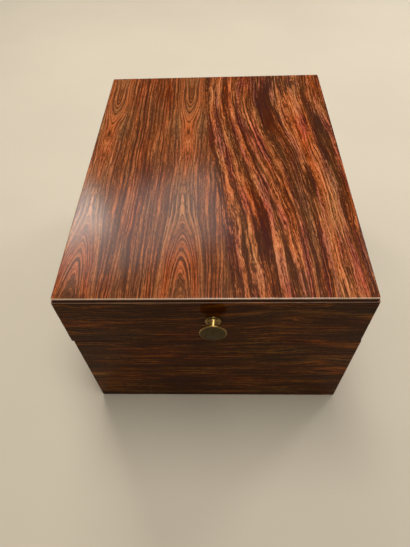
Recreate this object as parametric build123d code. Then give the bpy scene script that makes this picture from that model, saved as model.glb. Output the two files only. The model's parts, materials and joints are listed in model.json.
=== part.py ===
"""A rosewood dressing box: a deep hinged lid over a lined base with a lift-out tray.

Millimetres. +X is the box's right, +Y its back and +Z up. The origin is on the surface the box
stands on, under the middle of the base. Every board, bead, leaf, pin and screw is its own solid.
"""

import math
import os

from build123d import *

# Carcass: the base and the lid are two mitred frames of the same board.
box_width = 240.0  # left to right, outside
box_depth = 318.0  # front to back, outside
base_height = 114.0  # from the table to the base's rim
lid_height = 60.7  # from the lid's rim to its top face
rim_gap = 0.3  # the hinges hold the two rims this far apart
lid_wider = 1.0  # the lid is this much wider than the base, which has shrunk more
lid_side_play = 1.1  # its middle hangs this far left of the base's
board = 10.0  # thickness of the carcass boards
corner_radius = 1.0  # upright corners, in plan
rim_chamfer = 0.3  # outer edge of both rims
foot_radius = 0.5  # outer bottom edge of the base

# Base panel and the baize under it.
bottom_thickness = 5.0
bottom_rebate = 4.0  # how far the bottom panel is let into the boards
baize_thickness = 1.0
baize_inset = 1.5

# Lid panel: it overlies the boards, a little inside their faces, and drops between them.
panel_edge = 4.0  # the part of its thickness that stands above the boards
panel_tongue = 4.8  # the part that drops between the boards
panel_setback = 0.7  # the narrow ledge left on top of the boards
panel_corner = 1.8
panel_arris = 1.0
ledge_arris = 0.45  # top outer edge of the lid's boards
joint_clearance = 0.1  # around a panel that is glued between boards

# Butt hinges, let into both rims. The bevels behind the pin stop the lid.
hinge_spacing = 140.0  # between the two hinges' middles
hinge_length = 38.0
hinge_inset = 2.2  # the pin's axis, in from the back face
leaf_width = 7.2  # from the pin's axis
leaf_thickness = 1.2
leaf_proud = 0.05  # above its rim
barrel_radius = 2.1
pin_radius = 1.0
knuckles = 5
knuckle_gap = 0.1
pin_fit = 0.05  # radial, where a leaf turns on the pin
press_clearance = 0.02  # radial, where something is held tight
mortise_clearance = 0.15
lid_opening = 98.0  # degrees, shared equally by the two bevels

# Countersunk wood screws in the leaves.
screw_spacing = 13.0
screw_from_axis = 4.8
screw_head_radius = 1.9
screw_head_depth = 1.0
screw_radius = 0.9
screw_length = 9.0
slot_width = 0.5
slot_depth = 0.45

# Pull knob, turned in one piece, on the middle of the lid's front board.
knob_collar_radius = 6.3
knob_collar_thickness = 1.3
knob_neck_root = 4.7  # radius of the neck where it meets the collar
knob_neck_waist = 3.1
knob_neck_tip = 2.5  # radius of the neck where it meets the disc
knob_neck_length = 8.3
knob_disc_radius = 10.6
knob_disc_thickness = 1.5
knob_disc_cone = 0.5  # the disc's back slopes this much to the neck
knob_dome = 0.35
knob_rise = 3.85  # its axis, above the middle of the board
knob_side = 0.7  # its axis, left of the middle of the board
knob_bore_spare = 1.0  # the hole in the knob is this much deeper than its screw
knob_screw_radius = 1.5
knob_screw_grip = 6.0  # thread inside the knob
knob_screw_head_radius = 3.2
knob_screw_head = 1.6
knob_screw_slot = 0.8
washer_radius = 4.6
washer_thickness = 0.8
washer_bore = 1.65

# Mirror in the lid.
mirror_margin = 8.0  # from the lid's boards to the frame
bead_width = 12.0
bead_thickness = 6.0
bead_round = 2.0
bead_lip = 1.0  # thickness of the lip under the glass
bead_rebate = 4.0
glass_thickness = 3.0
glass_clearance = 0.3
glass_bevel_width = 14.0
glass_bevel_depth = 0.6

# Lining of the base, and the fittings of the well.
lining = 3.0
lining_drop = 0.5  # its top, under the base's rim
bearer_width = 3.0
bearer_height = 4.0
well_back_depth = 104.0  # the well behind the partition
partition = 3.0
partition_drop = 22.0  # its top, under the tray
pad_thickness = 3.0
pad_clearance = 0.3
pad_corner = 2.0

# Lift-out tray.
tray_clearance = 1.0
tray_height = 28.0
tray_drop = 2.0  # its top, under the base's rim
tray_board = 4.0
tray_floor = 2.5
tray_round = 1.2  # top edges of the boards
tray_corner = 1.5
divider = 3.0
divider_drop = 1.0  # their tops, under the tray's top
divider_round = 0.8
back_row_depth = 84.5
front_row_depth = 81.5
middle_column = 69.0
tray_pad_thickness = 1.5

# Ring rolls in the middle of the back row.
roll_pitch = 14.0
roll_gap = 0.3
roll_height = 21.5
top_rounding = 0.45  # of the thickness of a roll or the width of a tab

# Lids of the two back compartments, on ledges.
jewel_lid_thickness = 3.0
jewel_lid_clearance = 0.4
ledge_width = 2.5
ledge_height = 3.0
jewel_knob_collar = 2.6
jewel_knob_collar_height = 1.0
jewel_knob_neck = 1.4
jewel_knob_radius = 4.0
jewel_knob_height = 6.5
jewel_knob_button = 2.5  # thickness of its button
jewel_knob_bulge = 1.0  # the button's rim stands out this much past its flats
jewel_knob_crown = 0.5  # the button's top rises this much to its middle
jewel_knob_pin = 2.0  # depth of its pin in the lid
jewel_knob_pin_radius = 1.2

# Leather tabs that the tray is lifted by.
tab_width = 18.0
tab_thickness = 1.2
tab_below = 17.0  # glued to the tray's board
tab_above = 7.0  # standing over the tray's top

# Places worked out from the sizes above.
half_width = box_width / 2
half_depth = box_depth / 2
lid_x = -lid_side_play
lid_rim = base_height + rim_gap
box_top = lid_rim + lid_height
board_top = box_top - panel_edge
lid_ceiling = board_top - panel_tongue
floor_top = baize_thickness + bottom_thickness
inner_half_width = half_width - board
inner_half_depth = half_depth - board
lid_half_width = half_width + lid_wider / 2
lid_inner_half_width = lid_half_width - board
well_half_width = inner_half_width - lining
well_half_depth = inner_half_depth - lining
pin_y = half_depth - hinge_inset
pin_z = base_height + rim_gap / 2
knob_x = lid_x - knob_side
knob_z = (lid_rim + board_top) / 2 + knob_rise
tray_top = base_height - tray_drop
tray_bottom = tray_top - tray_height
tray_half_width = well_half_width - tray_clearance
tray_half_depth = well_half_depth - tray_clearance
tray_inner_x = tray_half_width - tray_board
tray_inner_y = tray_half_depth - tray_board
tray_floor_top = tray_bottom + tray_floor
divider_top = tray_top - divider_drop
back_divider_y = tray_inner_y - back_row_depth - divider / 2
front_divider_y = front_row_depth - tray_inner_y + divider / 2
column_x = middle_column / 2 + divider / 2
past = 5.0  # how far a cutting block runs past what it cuts


def block(x0, x1, y0, y1, z0, z1):
    """A plain block between two corners."""
    middle = Pos((x0 + x1) / 2, (y0 + y1) / 2, (z0 + z1) / 2)
    return middle * Box(x1 - x0, y1 - y0, z1 - z0)


def slab(half_x, half_y, z0, z1, radius, x=0.0, y=0.0):
    """A slab with its upright corners rounded."""
    plan = RectangleRounded(2 * half_x, 2 * half_y, radius)
    return Pos(x, y, z0) * extrude(plan, z1 - z0)


def top_edges(shape):
    return shape.edges().group_by(Axis.Z)[-1]


def bottom_edges(shape):
    return shape.edges().group_by(Axis.Z)[0]


def rod(radius, x0, x1, y, z):
    """A cylinder along X."""
    return Pos((x0 + x1) / 2, y, z) * Rot(0, 90, 0) * Cylinder(radius, x1 - x0)


def mitred(ring, half_x, half_y, thick, x=0.0):
    """Cuts a rectangular ring along its mitres into front, back, left and right boards."""
    low, high = ring.bounding_box().min.Z - past, ring.bounding_box().max.Z + past
    reach = thick + past / 2

    def wedge(points):
        face = make_face(Polyline(*points, close=True))
        return Pos(x, 0, low) * extrude(face, high - low)

    boards = {}
    for name, sign in (("front", -1), ("back", 1)):
        outer, inner = sign * (half_y + past), sign * (half_y - reach)
        ends = [(-half_x - past, outer), (half_x + past, outer)]
        ends += [(half_x - reach, inner), (reach - half_x, inner)]
        boards[name] = ring & wedge(ends)
    for name, sign in (("left", -1), ("right", 1)):
        outer, inner = sign * (half_x + past), sign * (half_x - reach)
        ends = [(outer, -half_y - past), (outer, half_y + past)]
        ends += [(inner, half_y - reach), (inner, reach - half_y)]
        boards[name] = ring & wedge(ends)
    return boards


def stop_bevel(up):
    """The wedge cut off a rim behind the pin: up is 1 for the lid's rim and -1 for the base's."""
    rim = lid_rim if up > 0 else base_height
    back = hinge_inset + past
    rise = up * back * math.tan(math.radians(lid_opening / 2))
    corners = [(0, 0), (back, 0), (back, rise)]
    face = make_face(Polyline(*corners, close=True))
    width = box_width + 2 * past
    return Pos(-width / 2, pin_y, rim) * extrude(Plane.YZ * face, width)


def hinge_middles():
    return (-hinge_spacing / 2, hinge_spacing / 2)


def screw_places():
    """X and Y of the three screws of each hinge leaf, for both hinges."""
    y = pin_y - screw_from_axis
    return [(x + k * screw_spacing, y) for x in hinge_middles() for k in (-1, 0, 1)]


def leaf_face(up):
    """Height of the show face of a leaf: up is 1 for the lid's leaf and -1 for the base's."""
    return lid_rim - leaf_proud if up > 0 else base_height + leaf_proud


def countersunk(x, y, up, slack=0.0, slot=True):
    """A wood screw driven into a leaf, or with some slack and no slot, the hole for it."""
    head = Pos(0, 0, -screw_head_depth / 2) * Cone(
        screw_radius + slack, screw_head_radius + slack, screw_head_depth
    )
    shank_length = screw_length - screw_head_depth + slack
    shank = Pos(0, 0, -screw_head_depth - shank_length / 2) * Cylinder(
        screw_radius + slack, shank_length
    )
    screw = head + shank
    if slot:
        screw -= Box(3 * screw_head_radius, slot_width, 2 * slot_depth)
    turn = Rot(180, 0, 0) if up > 0 else Rot(0, 0, 0)
    return Pos(x, y, leaf_face(up)) * turn * screw


def hinge_mortises(up):
    """What both hinges take out of a rim: the leaves' recesses, the barrels' room, the screws."""
    cuts = []
    half = hinge_length / 2 + mortise_clearance
    face = leaf_face(up)
    deep = face + up * leaf_thickness
    for x in hinge_middles():
        low, high = sorted((deep, face - up * past))
        front = pin_y - leaf_width - mortise_clearance
        cuts.append(block(x - half, x + half, front, pin_y, low, high))
        room = barrel_radius + mortise_clearance
        cuts.append(rod(room, x - half, x + half, pin_y, pin_z))
    cuts += [countersunk(x, y, up, press_clearance, slot=False) for x, y in screw_places()]
    return cuts


def base_carcass():
    """Four mitred boards, the bottom panel let into them, and the baize under it."""
    outer = slab(half_width, half_depth, baize_thickness, base_height, corner_radius)
    outer = fillet(bottom_edges(outer), foot_radius)
    outer = chamfer(top_edges(outer), rim_chamfer)
    inside = (-inner_half_width, inner_half_width, -inner_half_depth, inner_half_depth)
    ring = outer - block(*inside, 0, base_height + past)
    rebate_x = inner_half_width + bottom_rebate
    rebate_y = inner_half_depth + bottom_rebate
    ring -= block(-rebate_x, rebate_x, -rebate_y, rebate_y, 0, floor_top)
    ring -= stop_bevel(-1)
    boards = mitred(ring, half_width, half_depth, board)
    for cut in hinge_mortises(-1):
        boards["back"] -= cut
    nodes = {f"base_{side}_board": shape for side, shape in boards.items()}
    panel_x = rebate_x - joint_clearance
    panel_y = rebate_y - joint_clearance
    nodes["base_bottom_panel"] = block(
        -panel_x, panel_x, -panel_y, panel_y, baize_thickness, floor_top
    )
    nodes["base_baize"] = slab(
        half_width - baize_inset, half_depth - baize_inset, 0, baize_thickness, pad_corner
    )
    return nodes


def base_lining():
    """Thin boards that line the base, and the bearers that the tray stands on."""
    top = base_height - lining_drop
    nodes = {}
    for name, sign in (("front", -1), ("back", 1)):
        y0, y1 = sorted((sign * well_half_depth, sign * inner_half_depth))
        nodes[f"lining_{name}"] = block(
            -inner_half_width, inner_half_width, y0, y1, floor_top, top
        )
    for name, sign in (("left", -1), ("right", 1)):
        x0, x1 = sorted((sign * well_half_width, sign * inner_half_width))
        nodes[f"lining_{name}"] = block(
            x0, x1, -well_half_depth, well_half_depth, floor_top, top
        )
        x0, x1 = sorted((sign * well_half_width, sign * (well_half_width - bearer_width)))
        nodes[f"tray_bearer_{name}"] = block(
            x0, x1, -well_half_depth, well_half_depth, tray_bottom - bearer_height, tray_bottom
        )
    return nodes


def well_fittings():
    """The partition across the well and the padded floors on its two sides."""
    back_face = well_half_depth - well_back_depth
    front_face = back_face - partition
    top = tray_bottom - partition_drop
    nodes = {
        "well_partition": block(
            -well_half_width, well_half_width, front_face, back_face, floor_top, top
        )
    }
    floors = {"front": (-well_half_depth, front_face), "back": (back_face, well_half_depth)}
    for name, (y0, y1) in floors.items():
        half_x = well_half_width - pad_clearance
        half_y = (y1 - y0) / 2 - pad_clearance
        pad = slab(half_x, half_y, floor_top, floor_top + pad_thickness, pad_corner)
        nodes[f"well_pad_{name}"] = Pos(0, (y0 + y1) / 2, 0) * pad
    return nodes


def hinge_leaf(x, up):
    """One leaf with its own knuckles round the pin's hole, countersunk for its screws."""
    half = hinge_length / 2
    face = leaf_face(up)
    low, high = sorted((face, face + up * leaf_thickness))
    leaf = block(x - half, x + half, pin_y - leaf_width, pin_y, low, high)
    knuckle = hinge_length / knuckles
    for k in range(knuckles):
        start = x - half + k * knuckle
        owned = (k % 2 == 1) == (up > 0)
        if owned:
            inset = knuckle_gap / 2
            leaf += rod(barrel_radius, start + inset, start + knuckle - inset, pin_y, pin_z)
        else:
            room = barrel_radius + mortise_clearance
            leaf -= rod(room, start, start + knuckle, pin_y, pin_z)
    slack = pin_fit if up > 0 else press_clearance
    leaf -= rod(pin_radius + slack, x - half - past, x + half + past, pin_y, pin_z)
    for sx, sy in screw_places():
        if abs(sx - x) < half:
            leaf -= countersunk(sx, sy, up, press_clearance, slot=False)
    return leaf


def hinges():
    """Both hinges: the base's leaves, the lid's leaves, the pins and the screws."""
    nodes = {}
    for side, x in zip(("left", "right"), hinge_middles()):
        half = hinge_length / 2
        nodes[f"hinge_{side}_base_leaf"] = hinge_leaf(x, -1)
        nodes[f"hinge_{side}_lid_leaf"] = hinge_leaf(x, 1)
        nodes[f"hinge_{side}_pin"] = rod(pin_radius, x - half, x + half, pin_y, pin_z)
    for body, up in (("base", -1), ("lid", 1)):
        screws = [countersunk(x, y, up) for x, y in screw_places()]
        nodes[f"hinge_{body}_screws"] = Compound(children=screws)
    return nodes


def lid_carcass():
    """Four mitred boards and the panel that lies on them, inside a narrow ledge."""
    outer = slab(lid_half_width, half_depth, lid_rim, board_top, corner_radius, lid_x)
    outer = fillet(top_edges(outer), ledge_arris)
    outer = chamfer(bottom_edges(outer), rim_chamfer)
    x0, x1 = lid_x - lid_inner_half_width, lid_x + lid_inner_half_width
    ring = outer - block(x0, x1, -inner_half_depth, inner_half_depth, 0, box_top)
    ring -= stop_bevel(1)
    boards = mitred(ring, lid_half_width, half_depth, board, lid_x)
    for cut in hinge_mortises(1):
        boards["back"] -= cut
    bore = Cylinder(washer_bore, 4 * board)
    boards["front"] -= Pos(knob_x, -half_depth, knob_z) * Rot(90, 0, 0) * bore
    nodes = {f"lid_{side}_board": shape for side, shape in boards.items()}

    cover = slab(
        lid_half_width - panel_setback,
        half_depth - panel_setback,
        board_top,
        box_top,
        panel_corner,
        lid_x,
    )
    cover = fillet(top_edges(cover), panel_arris)
    tongue_x = lid_inner_half_width - joint_clearance
    tongue_y = inner_half_depth - joint_clearance
    tongue = block(
        lid_x - tongue_x, lid_x + tongue_x, -tongue_y, tongue_y, lid_ceiling, board_top
    )
    nodes["lid_top_panel"] = cover + tongue
    return nodes


def turned(profile, x, y, z, facing):
    """Spins a half profile of (radius, distance) about its axis and stands it on a face."""
    body = revolve(Plane.XZ * make_face(profile), Axis.Z)
    return Pos(x, y, z) * facing * body


def knob_profile():
    """Half section of the pull knob: collar, tapering neck and a thin, slightly domed disc."""
    collar_edge = knob_collar_thickness / 2
    neck_start = knob_collar_thickness
    neck_end = neck_start + knob_neck_length
    rim = knob_disc_thickness / 2
    disc_back = neck_end + knob_disc_cone
    disc_front = disc_back + knob_disc_thickness
    bore = knob_screw_radius + press_clearance
    bore_end = knob_screw_grip + knob_bore_spare
    collar_flat = knob_collar_radius - collar_edge
    disc_flat = knob_disc_radius - rim
    top = (0, disc_front + knob_dome)
    return [
        Line((bore, 0), (collar_flat, 0)),
        ThreePointArc(
            (collar_flat, 0), (knob_collar_radius, collar_edge), (collar_flat, neck_start)
        ),
        Line((collar_flat, neck_start), (knob_neck_root, neck_start)),
        ThreePointArc(
            (knob_neck_root, neck_start),
            (knob_neck_waist, (neck_start + neck_end) / 2),
            (knob_neck_tip, neck_end),
        ),
        Line((knob_neck_tip, neck_end), (disc_flat, disc_back)),
        ThreePointArc(
            (disc_flat, disc_back), (knob_disc_radius, disc_back + rim), (disc_flat, disc_front)
        ),
        TangentArc(top, (disc_flat, disc_front), tangent=(1, 0)),
        Line(top, (0, bore_end)),
        Line((0, bore_end), (bore, bore_end)),
        Line((bore, bore_end), (bore, 0)),
    ]


def pull_knob():
    """The knob, and the screw and washer that hold it from inside the lid."""
    outward = Rot(90, 0, 0)
    inward = Rot(-90, 0, 0)
    inner_face = -inner_half_depth
    nodes = {"knob": turned(knob_profile(), knob_x, -half_depth, knob_z, outward)}
    ring = Cylinder(washer_radius, washer_thickness) - Cylinder(washer_bore, past)
    washer = Pos(knob_x, inner_face + washer_thickness / 2, knob_z) * inward * ring
    nodes["knob_washer"] = washer
    length = board + washer_thickness + knob_screw_grip
    head = Pos(0, 0, knob_screw_head / 2) * Cylinder(knob_screw_head_radius, knob_screw_head)
    head = fillet(top_edges(head), knob_screw_head / 3)
    shank = Pos(0, 0, -length / 2) * Cylinder(knob_screw_radius, length)
    slot = Pos(0, 0, knob_screw_head)
    slot *= Box(3 * knob_screw_head_radius, knob_screw_slot, knob_screw_head)
    screw = head + shank - slot
    seat = inner_face + washer_thickness
    nodes["knob_screw"] = Pos(knob_x, seat, knob_z) * inward * screw
    return nodes


def lid_mirror():
    """A bevelled mirror on a backing board, held under the lid by four mitred beads."""
    outer_x = lid_inner_half_width - mirror_margin
    outer_y = inner_half_depth - mirror_margin
    low = lid_ceiling - bead_thickness
    frame = block(lid_x - outer_x, lid_x + outer_x, -outer_y, outer_y, low, lid_ceiling)
    frame = fillet(bottom_edges(frame), bead_round)
    sight_x, sight_y = outer_x - bead_width, outer_y - bead_width
    frame -= block(lid_x - sight_x, lid_x + sight_x, -sight_y, sight_y, 0, box_top)
    seat = low + bead_lip
    seat_x, seat_y = sight_x + bead_rebate, sight_y + bead_rebate
    frame -= block(lid_x - seat_x, lid_x + seat_x, -seat_y, seat_y, seat, box_top)
    beads = mitred(frame, outer_x, outer_y, bead_width, lid_x)
    nodes = {f"mirror_bead_{side}": shape for side, shape in beads.items()}

    glass_x, glass_y = seat_x - glass_clearance, seat_y - glass_clearance
    on_lip = bead_rebate - glass_clearance
    glass_low = seat - glass_bevel_depth * (1 - on_lip / glass_bevel_width)
    glass_top = glass_low + glass_thickness
    sheet = (lid_x - glass_x, lid_x + glass_x, -glass_y, glass_y)
    glass = block(*sheet, glass_low, glass_top)
    below = glass.faces().sort_by(Axis.Z)[0]
    nodes["mirror_glass"] = chamfer(
        below.edges(), glass_bevel_width, glass_bevel_depth, reference=below
    )
    nodes["mirror_backing"] = block(*sheet, glass_top, lid_ceiling)
    return nodes


def upright(x0, x1, y0, y1):
    """A divider of the tray, with its top edges eased."""
    shape = block(x0, x1, y0, y1, tray_floor_top, divider_top)
    along = Axis.Y if x1 - x0 < y1 - y0 else Axis.X
    return fillet(top_edges(shape).filter_by(along), divider_round)


def tray_case():
    """The tray's four mitred boards, its floor and its dividers."""
    ring = slab(tray_half_width, tray_half_depth, tray_bottom, tray_top, tray_corner)
    ring = fillet(top_edges(ring), tray_round)
    inside = (-tray_inner_x, tray_inner_x, -tray_inner_y, tray_inner_y)
    ring -= block(*inside, 0, box_top)
    boards = mitred(ring, tray_half_width, tray_half_depth, tray_board)
    nodes = {f"tray_{side}_board": shape for side, shape in boards.items()}
    nodes["tray_floor"] = block(*inside, tray_bottom, tray_floor_top)
    half = divider / 2
    for name, y in (("back", back_divider_y), ("front", front_divider_y)):
        nodes[f"tray_cross_divider_{name}"] = upright(
            -tray_inner_x, tray_inner_x, y - half, y + half
        )
    rows = {
        "back": (back_divider_y + half, tray_inner_y),
        "front": (-tray_inner_y, front_divider_y - half),
    }
    for row, (y0, y1) in rows.items():
        for side, x in (("left", -column_x), ("right", column_x)):
            nodes[f"tray_divider_{row}_{side}"] = upright(x - half, x + half, y0, y1)
    return nodes


def compartments():
    """The tray's compartments as (x0, x1, y0, y1): three in the back row, one, then three."""
    half = divider / 2
    columns = [
        (-tray_inner_x, -column_x - half),
        (half - column_x, column_x - half),
        (column_x + half, tray_inner_x),
    ]
    back = (back_divider_y + half, tray_inner_y)
    middle = (front_divider_y + half, back_divider_y - half)
    front = (-tray_inner_y, front_divider_y - half)
    found = {}
    for name, (x0, x1) in zip(("left", "middle", "right"), columns):
        found[f"back_{name}"] = (x0, x1, *back)
        found[f"front_{name}"] = (x0, x1, *front)
    found["centre"] = (-tray_inner_x, tray_inner_x, *middle)
    return found


def tray_soft_fittings():
    """Pads on the compartment floors, the ring rolls and the leather tabs."""
    places = compartments()
    x0, x1, y0, y1 = places.pop("back_middle")
    pads = []
    for ax, bx, ay, by in places.values():
        half_x = (bx - ax) / 2 - pad_clearance
        half_y = (by - ay) / 2 - pad_clearance
        top = tray_floor_top + tray_pad_thickness
        pads.append(
            slab(half_x, half_y, tray_floor_top, top, pad_corner, (ax + bx) / 2, (ay + by) / 2)
        )
    nodes = {"tray_pads": Compound(children=pads)}

    count = round((y1 - y0) / roll_pitch)
    thick = (y1 - y0 - roll_gap * (count + 1)) / count
    rolls = []
    for k in range(count):
        y = y0 + roll_gap + k * (thick + roll_gap)
        low, high = tray_floor_top, tray_floor_top + roll_height
        roll = block(x0 + roll_gap, x1 - roll_gap, y, y + thick, low, high)
        rolls.append(fillet(top_edges(roll).filter_by(Axis.X), top_rounding * thick))
    nodes["ring_rolls"] = Compound(children=rolls)

    tabs = []
    for sign in (-1, 1):
        a0, a1 = sorted((sign * tray_inner_x, sign * (tray_inner_x - tab_thickness)))
        tab = block(
            a0, a1, -tab_width / 2, tab_width / 2, tray_top - tab_below, tray_top + tab_above
        )
        tabs.append(fillet(top_edges(tab).filter_by(Axis.X), top_rounding * tab_width))
    nodes["tray_lift_tabs"] = Compound(children=tabs)
    return nodes


def jewel_knob_profile():
    """Half section of the small knob: pin, collar, neck and button."""
    collar_top = jewel_knob_collar_height
    button_low = jewel_knob_height - jewel_knob_button
    button_high = jewel_knob_height - jewel_knob_crown
    flat = jewel_knob_radius - jewel_knob_bulge
    return [
        Polyline(
            (0, -jewel_knob_pin),
            (jewel_knob_pin_radius, -jewel_knob_pin),
            (jewel_knob_pin_radius, 0),
            (jewel_knob_collar, 0),
            (jewel_knob_collar, collar_top),
            (jewel_knob_neck, collar_top),
            (jewel_knob_neck, button_low),
            (flat, button_low),
        ),
        ThreePointArc(
            (flat, button_low), (jewel_knob_radius, (button_low + button_high) / 2), (flat, button_high)
        ),
        Line((flat, button_high), (0, jewel_knob_height)),
        Line((0, jewel_knob_height), (0, -jewel_knob_pin)),
    ]


def jewel_lids():
    """The two lidded compartments: the lids, their knobs and the ledges they lie on."""
    places = compartments()
    lid_low = divider_top - jewel_lid_thickness
    nodes, ledges = {}, []
    for side in ("left", "right"):
        x0, x1, y0, y1 = places[f"back_{side}"]
        gap = jewel_lid_clearance
        cover = block(x0 + gap, x1 - gap, y0 + gap, y1 - gap, lid_low, divider_top)
        x, y = (x0 + x1) / 2, (y0 + y1) / 2
        pin_hole = Cylinder(jewel_knob_pin_radius + press_clearance, 2 * jewel_knob_pin)
        nodes[f"jewel_lid_{side}"] = cover - Pos(x, y, divider_top) * pin_hole
        nodes[f"jewel_knob_{side}"] = turned(
            jewel_knob_profile(), x, y, divider_top, Rot(0, 0, 0)
        )
        for a0, a1 in ((x0, x0 + ledge_width), (x1 - ledge_width, x1)):
            ledges.append(block(a0, a1, y0, y1, lid_low - ledge_height, lid_low))
    nodes["jewel_lid_ledges"] = Compound(children=ledges)
    return nodes


nodes = {}
for sub_assembly in (
    base_carcass,
    base_lining,
    well_fittings,
    hinges,
    lid_carcass,
    pull_knob,
    lid_mirror,
    tray_case,
    tray_soft_fittings,
    jewel_lids,
):
    nodes.update(sub_assembly())

os.makedirs("parts", exist_ok=True)
for node_name, node_shape in nodes.items():
    export_step(node_shape, f"parts/{node_name}.step")
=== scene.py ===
"""A rosewood dressing box: its finishes, soft fittings and turned knobs, and its studio.

Lengths are metres in the model and millimetres in the fields whose names end in _mm.
"""

import json
import logging
import math
from collections.abc import Callable, Iterable, Mapping, Sequence
from dataclasses import dataclass, field
from enum import Enum
from functools import partial
from typing import Any

import bmesh
import bpy
from mathutils import Matrix, Vector

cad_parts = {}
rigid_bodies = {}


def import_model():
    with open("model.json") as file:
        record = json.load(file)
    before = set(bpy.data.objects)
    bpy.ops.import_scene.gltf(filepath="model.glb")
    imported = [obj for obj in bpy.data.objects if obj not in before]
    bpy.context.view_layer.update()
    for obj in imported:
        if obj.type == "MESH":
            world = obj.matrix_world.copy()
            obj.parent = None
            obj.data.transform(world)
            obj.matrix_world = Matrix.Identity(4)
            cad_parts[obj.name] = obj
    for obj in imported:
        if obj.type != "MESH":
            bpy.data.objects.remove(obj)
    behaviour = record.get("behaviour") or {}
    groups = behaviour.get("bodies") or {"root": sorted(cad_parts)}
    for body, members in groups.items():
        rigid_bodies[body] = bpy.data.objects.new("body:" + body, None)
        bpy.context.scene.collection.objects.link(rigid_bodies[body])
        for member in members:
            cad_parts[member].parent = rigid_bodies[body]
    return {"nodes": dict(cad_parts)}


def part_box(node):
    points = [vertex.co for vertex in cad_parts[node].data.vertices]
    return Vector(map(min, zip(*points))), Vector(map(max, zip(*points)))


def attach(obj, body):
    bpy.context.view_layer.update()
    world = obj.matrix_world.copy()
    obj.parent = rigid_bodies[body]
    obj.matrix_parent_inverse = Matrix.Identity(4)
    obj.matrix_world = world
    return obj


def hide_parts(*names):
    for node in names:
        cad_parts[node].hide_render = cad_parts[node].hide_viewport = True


LOG = logging.getLogger("dressing_box")
MM = 0.001
TOUCH = 1e-6  # metres; points nearer than this are one
ENDS = ("front", "back")
SIDES = ("left", "right")

Object = bpy.types.Object
Material = bpy.types.Material
Tree = bpy.types.NodeTree
Node = bpy.types.Node
Wire = bpy.types.Node | bpy.types.NodeSocket  # what can be linked to an input
Colour = tuple[float, float, float, float]
Curve = tuple[tuple[float, float], ...]
Ramp = tuple[tuple[float, str], ...]
Span = float | tuple[float, float]
Constants = tuple[tuple[str, float | str], ...]
Test = Callable[[Vector, Vector], bool]


# ---------------------------------------------------------------- colours and nodes


def linear(code: str) -> Colour:
    """Turns an sRGB hex colour into the linear colour that a shader socket takes.

    Args:
        code: the colour, such as "#8A3B1E".

    Returns:
        Red, green, blue and an alpha of 1.
    """
    channels = [int(code[i : i + 2], 16) / 255 for i in (1, 3, 5)]
    bent = [c / 12.92 if c <= 0.04045 else ((c + 0.055) / 1.055) ** 2.4 for c in channels]
    return (bent[0], bent[1], bent[2], 1.0)


def feed(tree: Tree, node: Node, inputs: Mapping[int | str, Any]) -> None:
    """Feeds a node's inputs.

    Args:
        tree: the node's tree.
        node: the node.
        inputs: what feeds each input, by name or by number among those in use. A socket or a
            node's first output is linked, a hex code is a colour, None leaves the input alone.
    """
    used = [socket for socket in node.inputs if socket.enabled]
    for key, value in inputs.items():
        socket = used[key] if isinstance(key, int) else node.inputs[key]
        if isinstance(value, Node):
            value = next(output for output in value.outputs if output.enabled)
        if isinstance(value, bpy.types.NodeSocket):
            tree.links.new(value, socket)
        elif value is not None:
            socket.default_value = linear(value) if isinstance(value, str) else value


def add(tree: Tree, kind: str, *inputs: Any, **settings: Any) -> Node:
    """Adds a node with its settings and links.

    Args:
        tree: the node tree it goes in.
        kind: the node's type without its ShaderNode prefix and, after a colon, its operation
            or data type if it has one.
        inputs: what feeds the inputs in use, in order, as feed takes it. A dict feeds inputs
            by name.
        settings: its properties. stops fills a colour ramp with (place, hex code) pairs, and
            points fills a float curve with (x, y) pairs.

    Returns:
        The new node.
    """
    kind, _, choice = kind.partition(":")
    made = tree.nodes.new("ShaderNode" + kind)
    if choice:
        setattr(made, "data_type" if kind == "Mix" else "operation", choice)
    stops = settings.pop("stops", None)
    points = settings.pop("points", None)
    for key, value in settings.items():
        setattr(made, key, value)
    if stops:
        elements = made.color_ramp.elements
        while len(elements) < len(stops):
            elements.new(1.0)
        for element, (place, code) in zip(elements, stops):
            element.position = place
            element.color = linear(code)
    if points:
        curve = made.mapping.curves[0]
        curve.points[0].location = points[0]
        curve.points[1].location = points[-1]
        for point in points[1:-1]:
            curve.points.new(*point)
        made.mapping.update()
    for number, value in enumerate(inputs):
        feed(tree, made, value if isinstance(value, dict) else {number: value})
    return made


# ---------------------------------------------------------------- finishes


class Figure(Enum):
    """How a veneer is cut and laid."""

    LEAVES = "slip-matched leaves beside a flowing one, grain front to back"
    WIDTHWAYS = "one long leaf round the front or back, grain left to right"
    LENGTHWAYS = "one long leaf down a side, grain front to back"
    # The band's darkness is painted shade on the top panel's upright edge.
    BAND = "a dark band round the top panel's edge, grain along it"


class Grain(Enum):
    """Which way a solid board's grain runs, as the turn that lays it along X."""

    LEFT_RIGHT = (0.0, 0.0, 0.0)
    FRONT_BACK = (0.0, 0.0, math.pi / 2)


class Wear(Enum):
    """How far a finish is worn, and where a highlight is painted on it."""

    # A full gloss coat, as hands rub an arris, with a pale highlight painted over its colour.
    RUBBED = "rubbed pale and glossy, as an arris is by hands"


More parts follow.
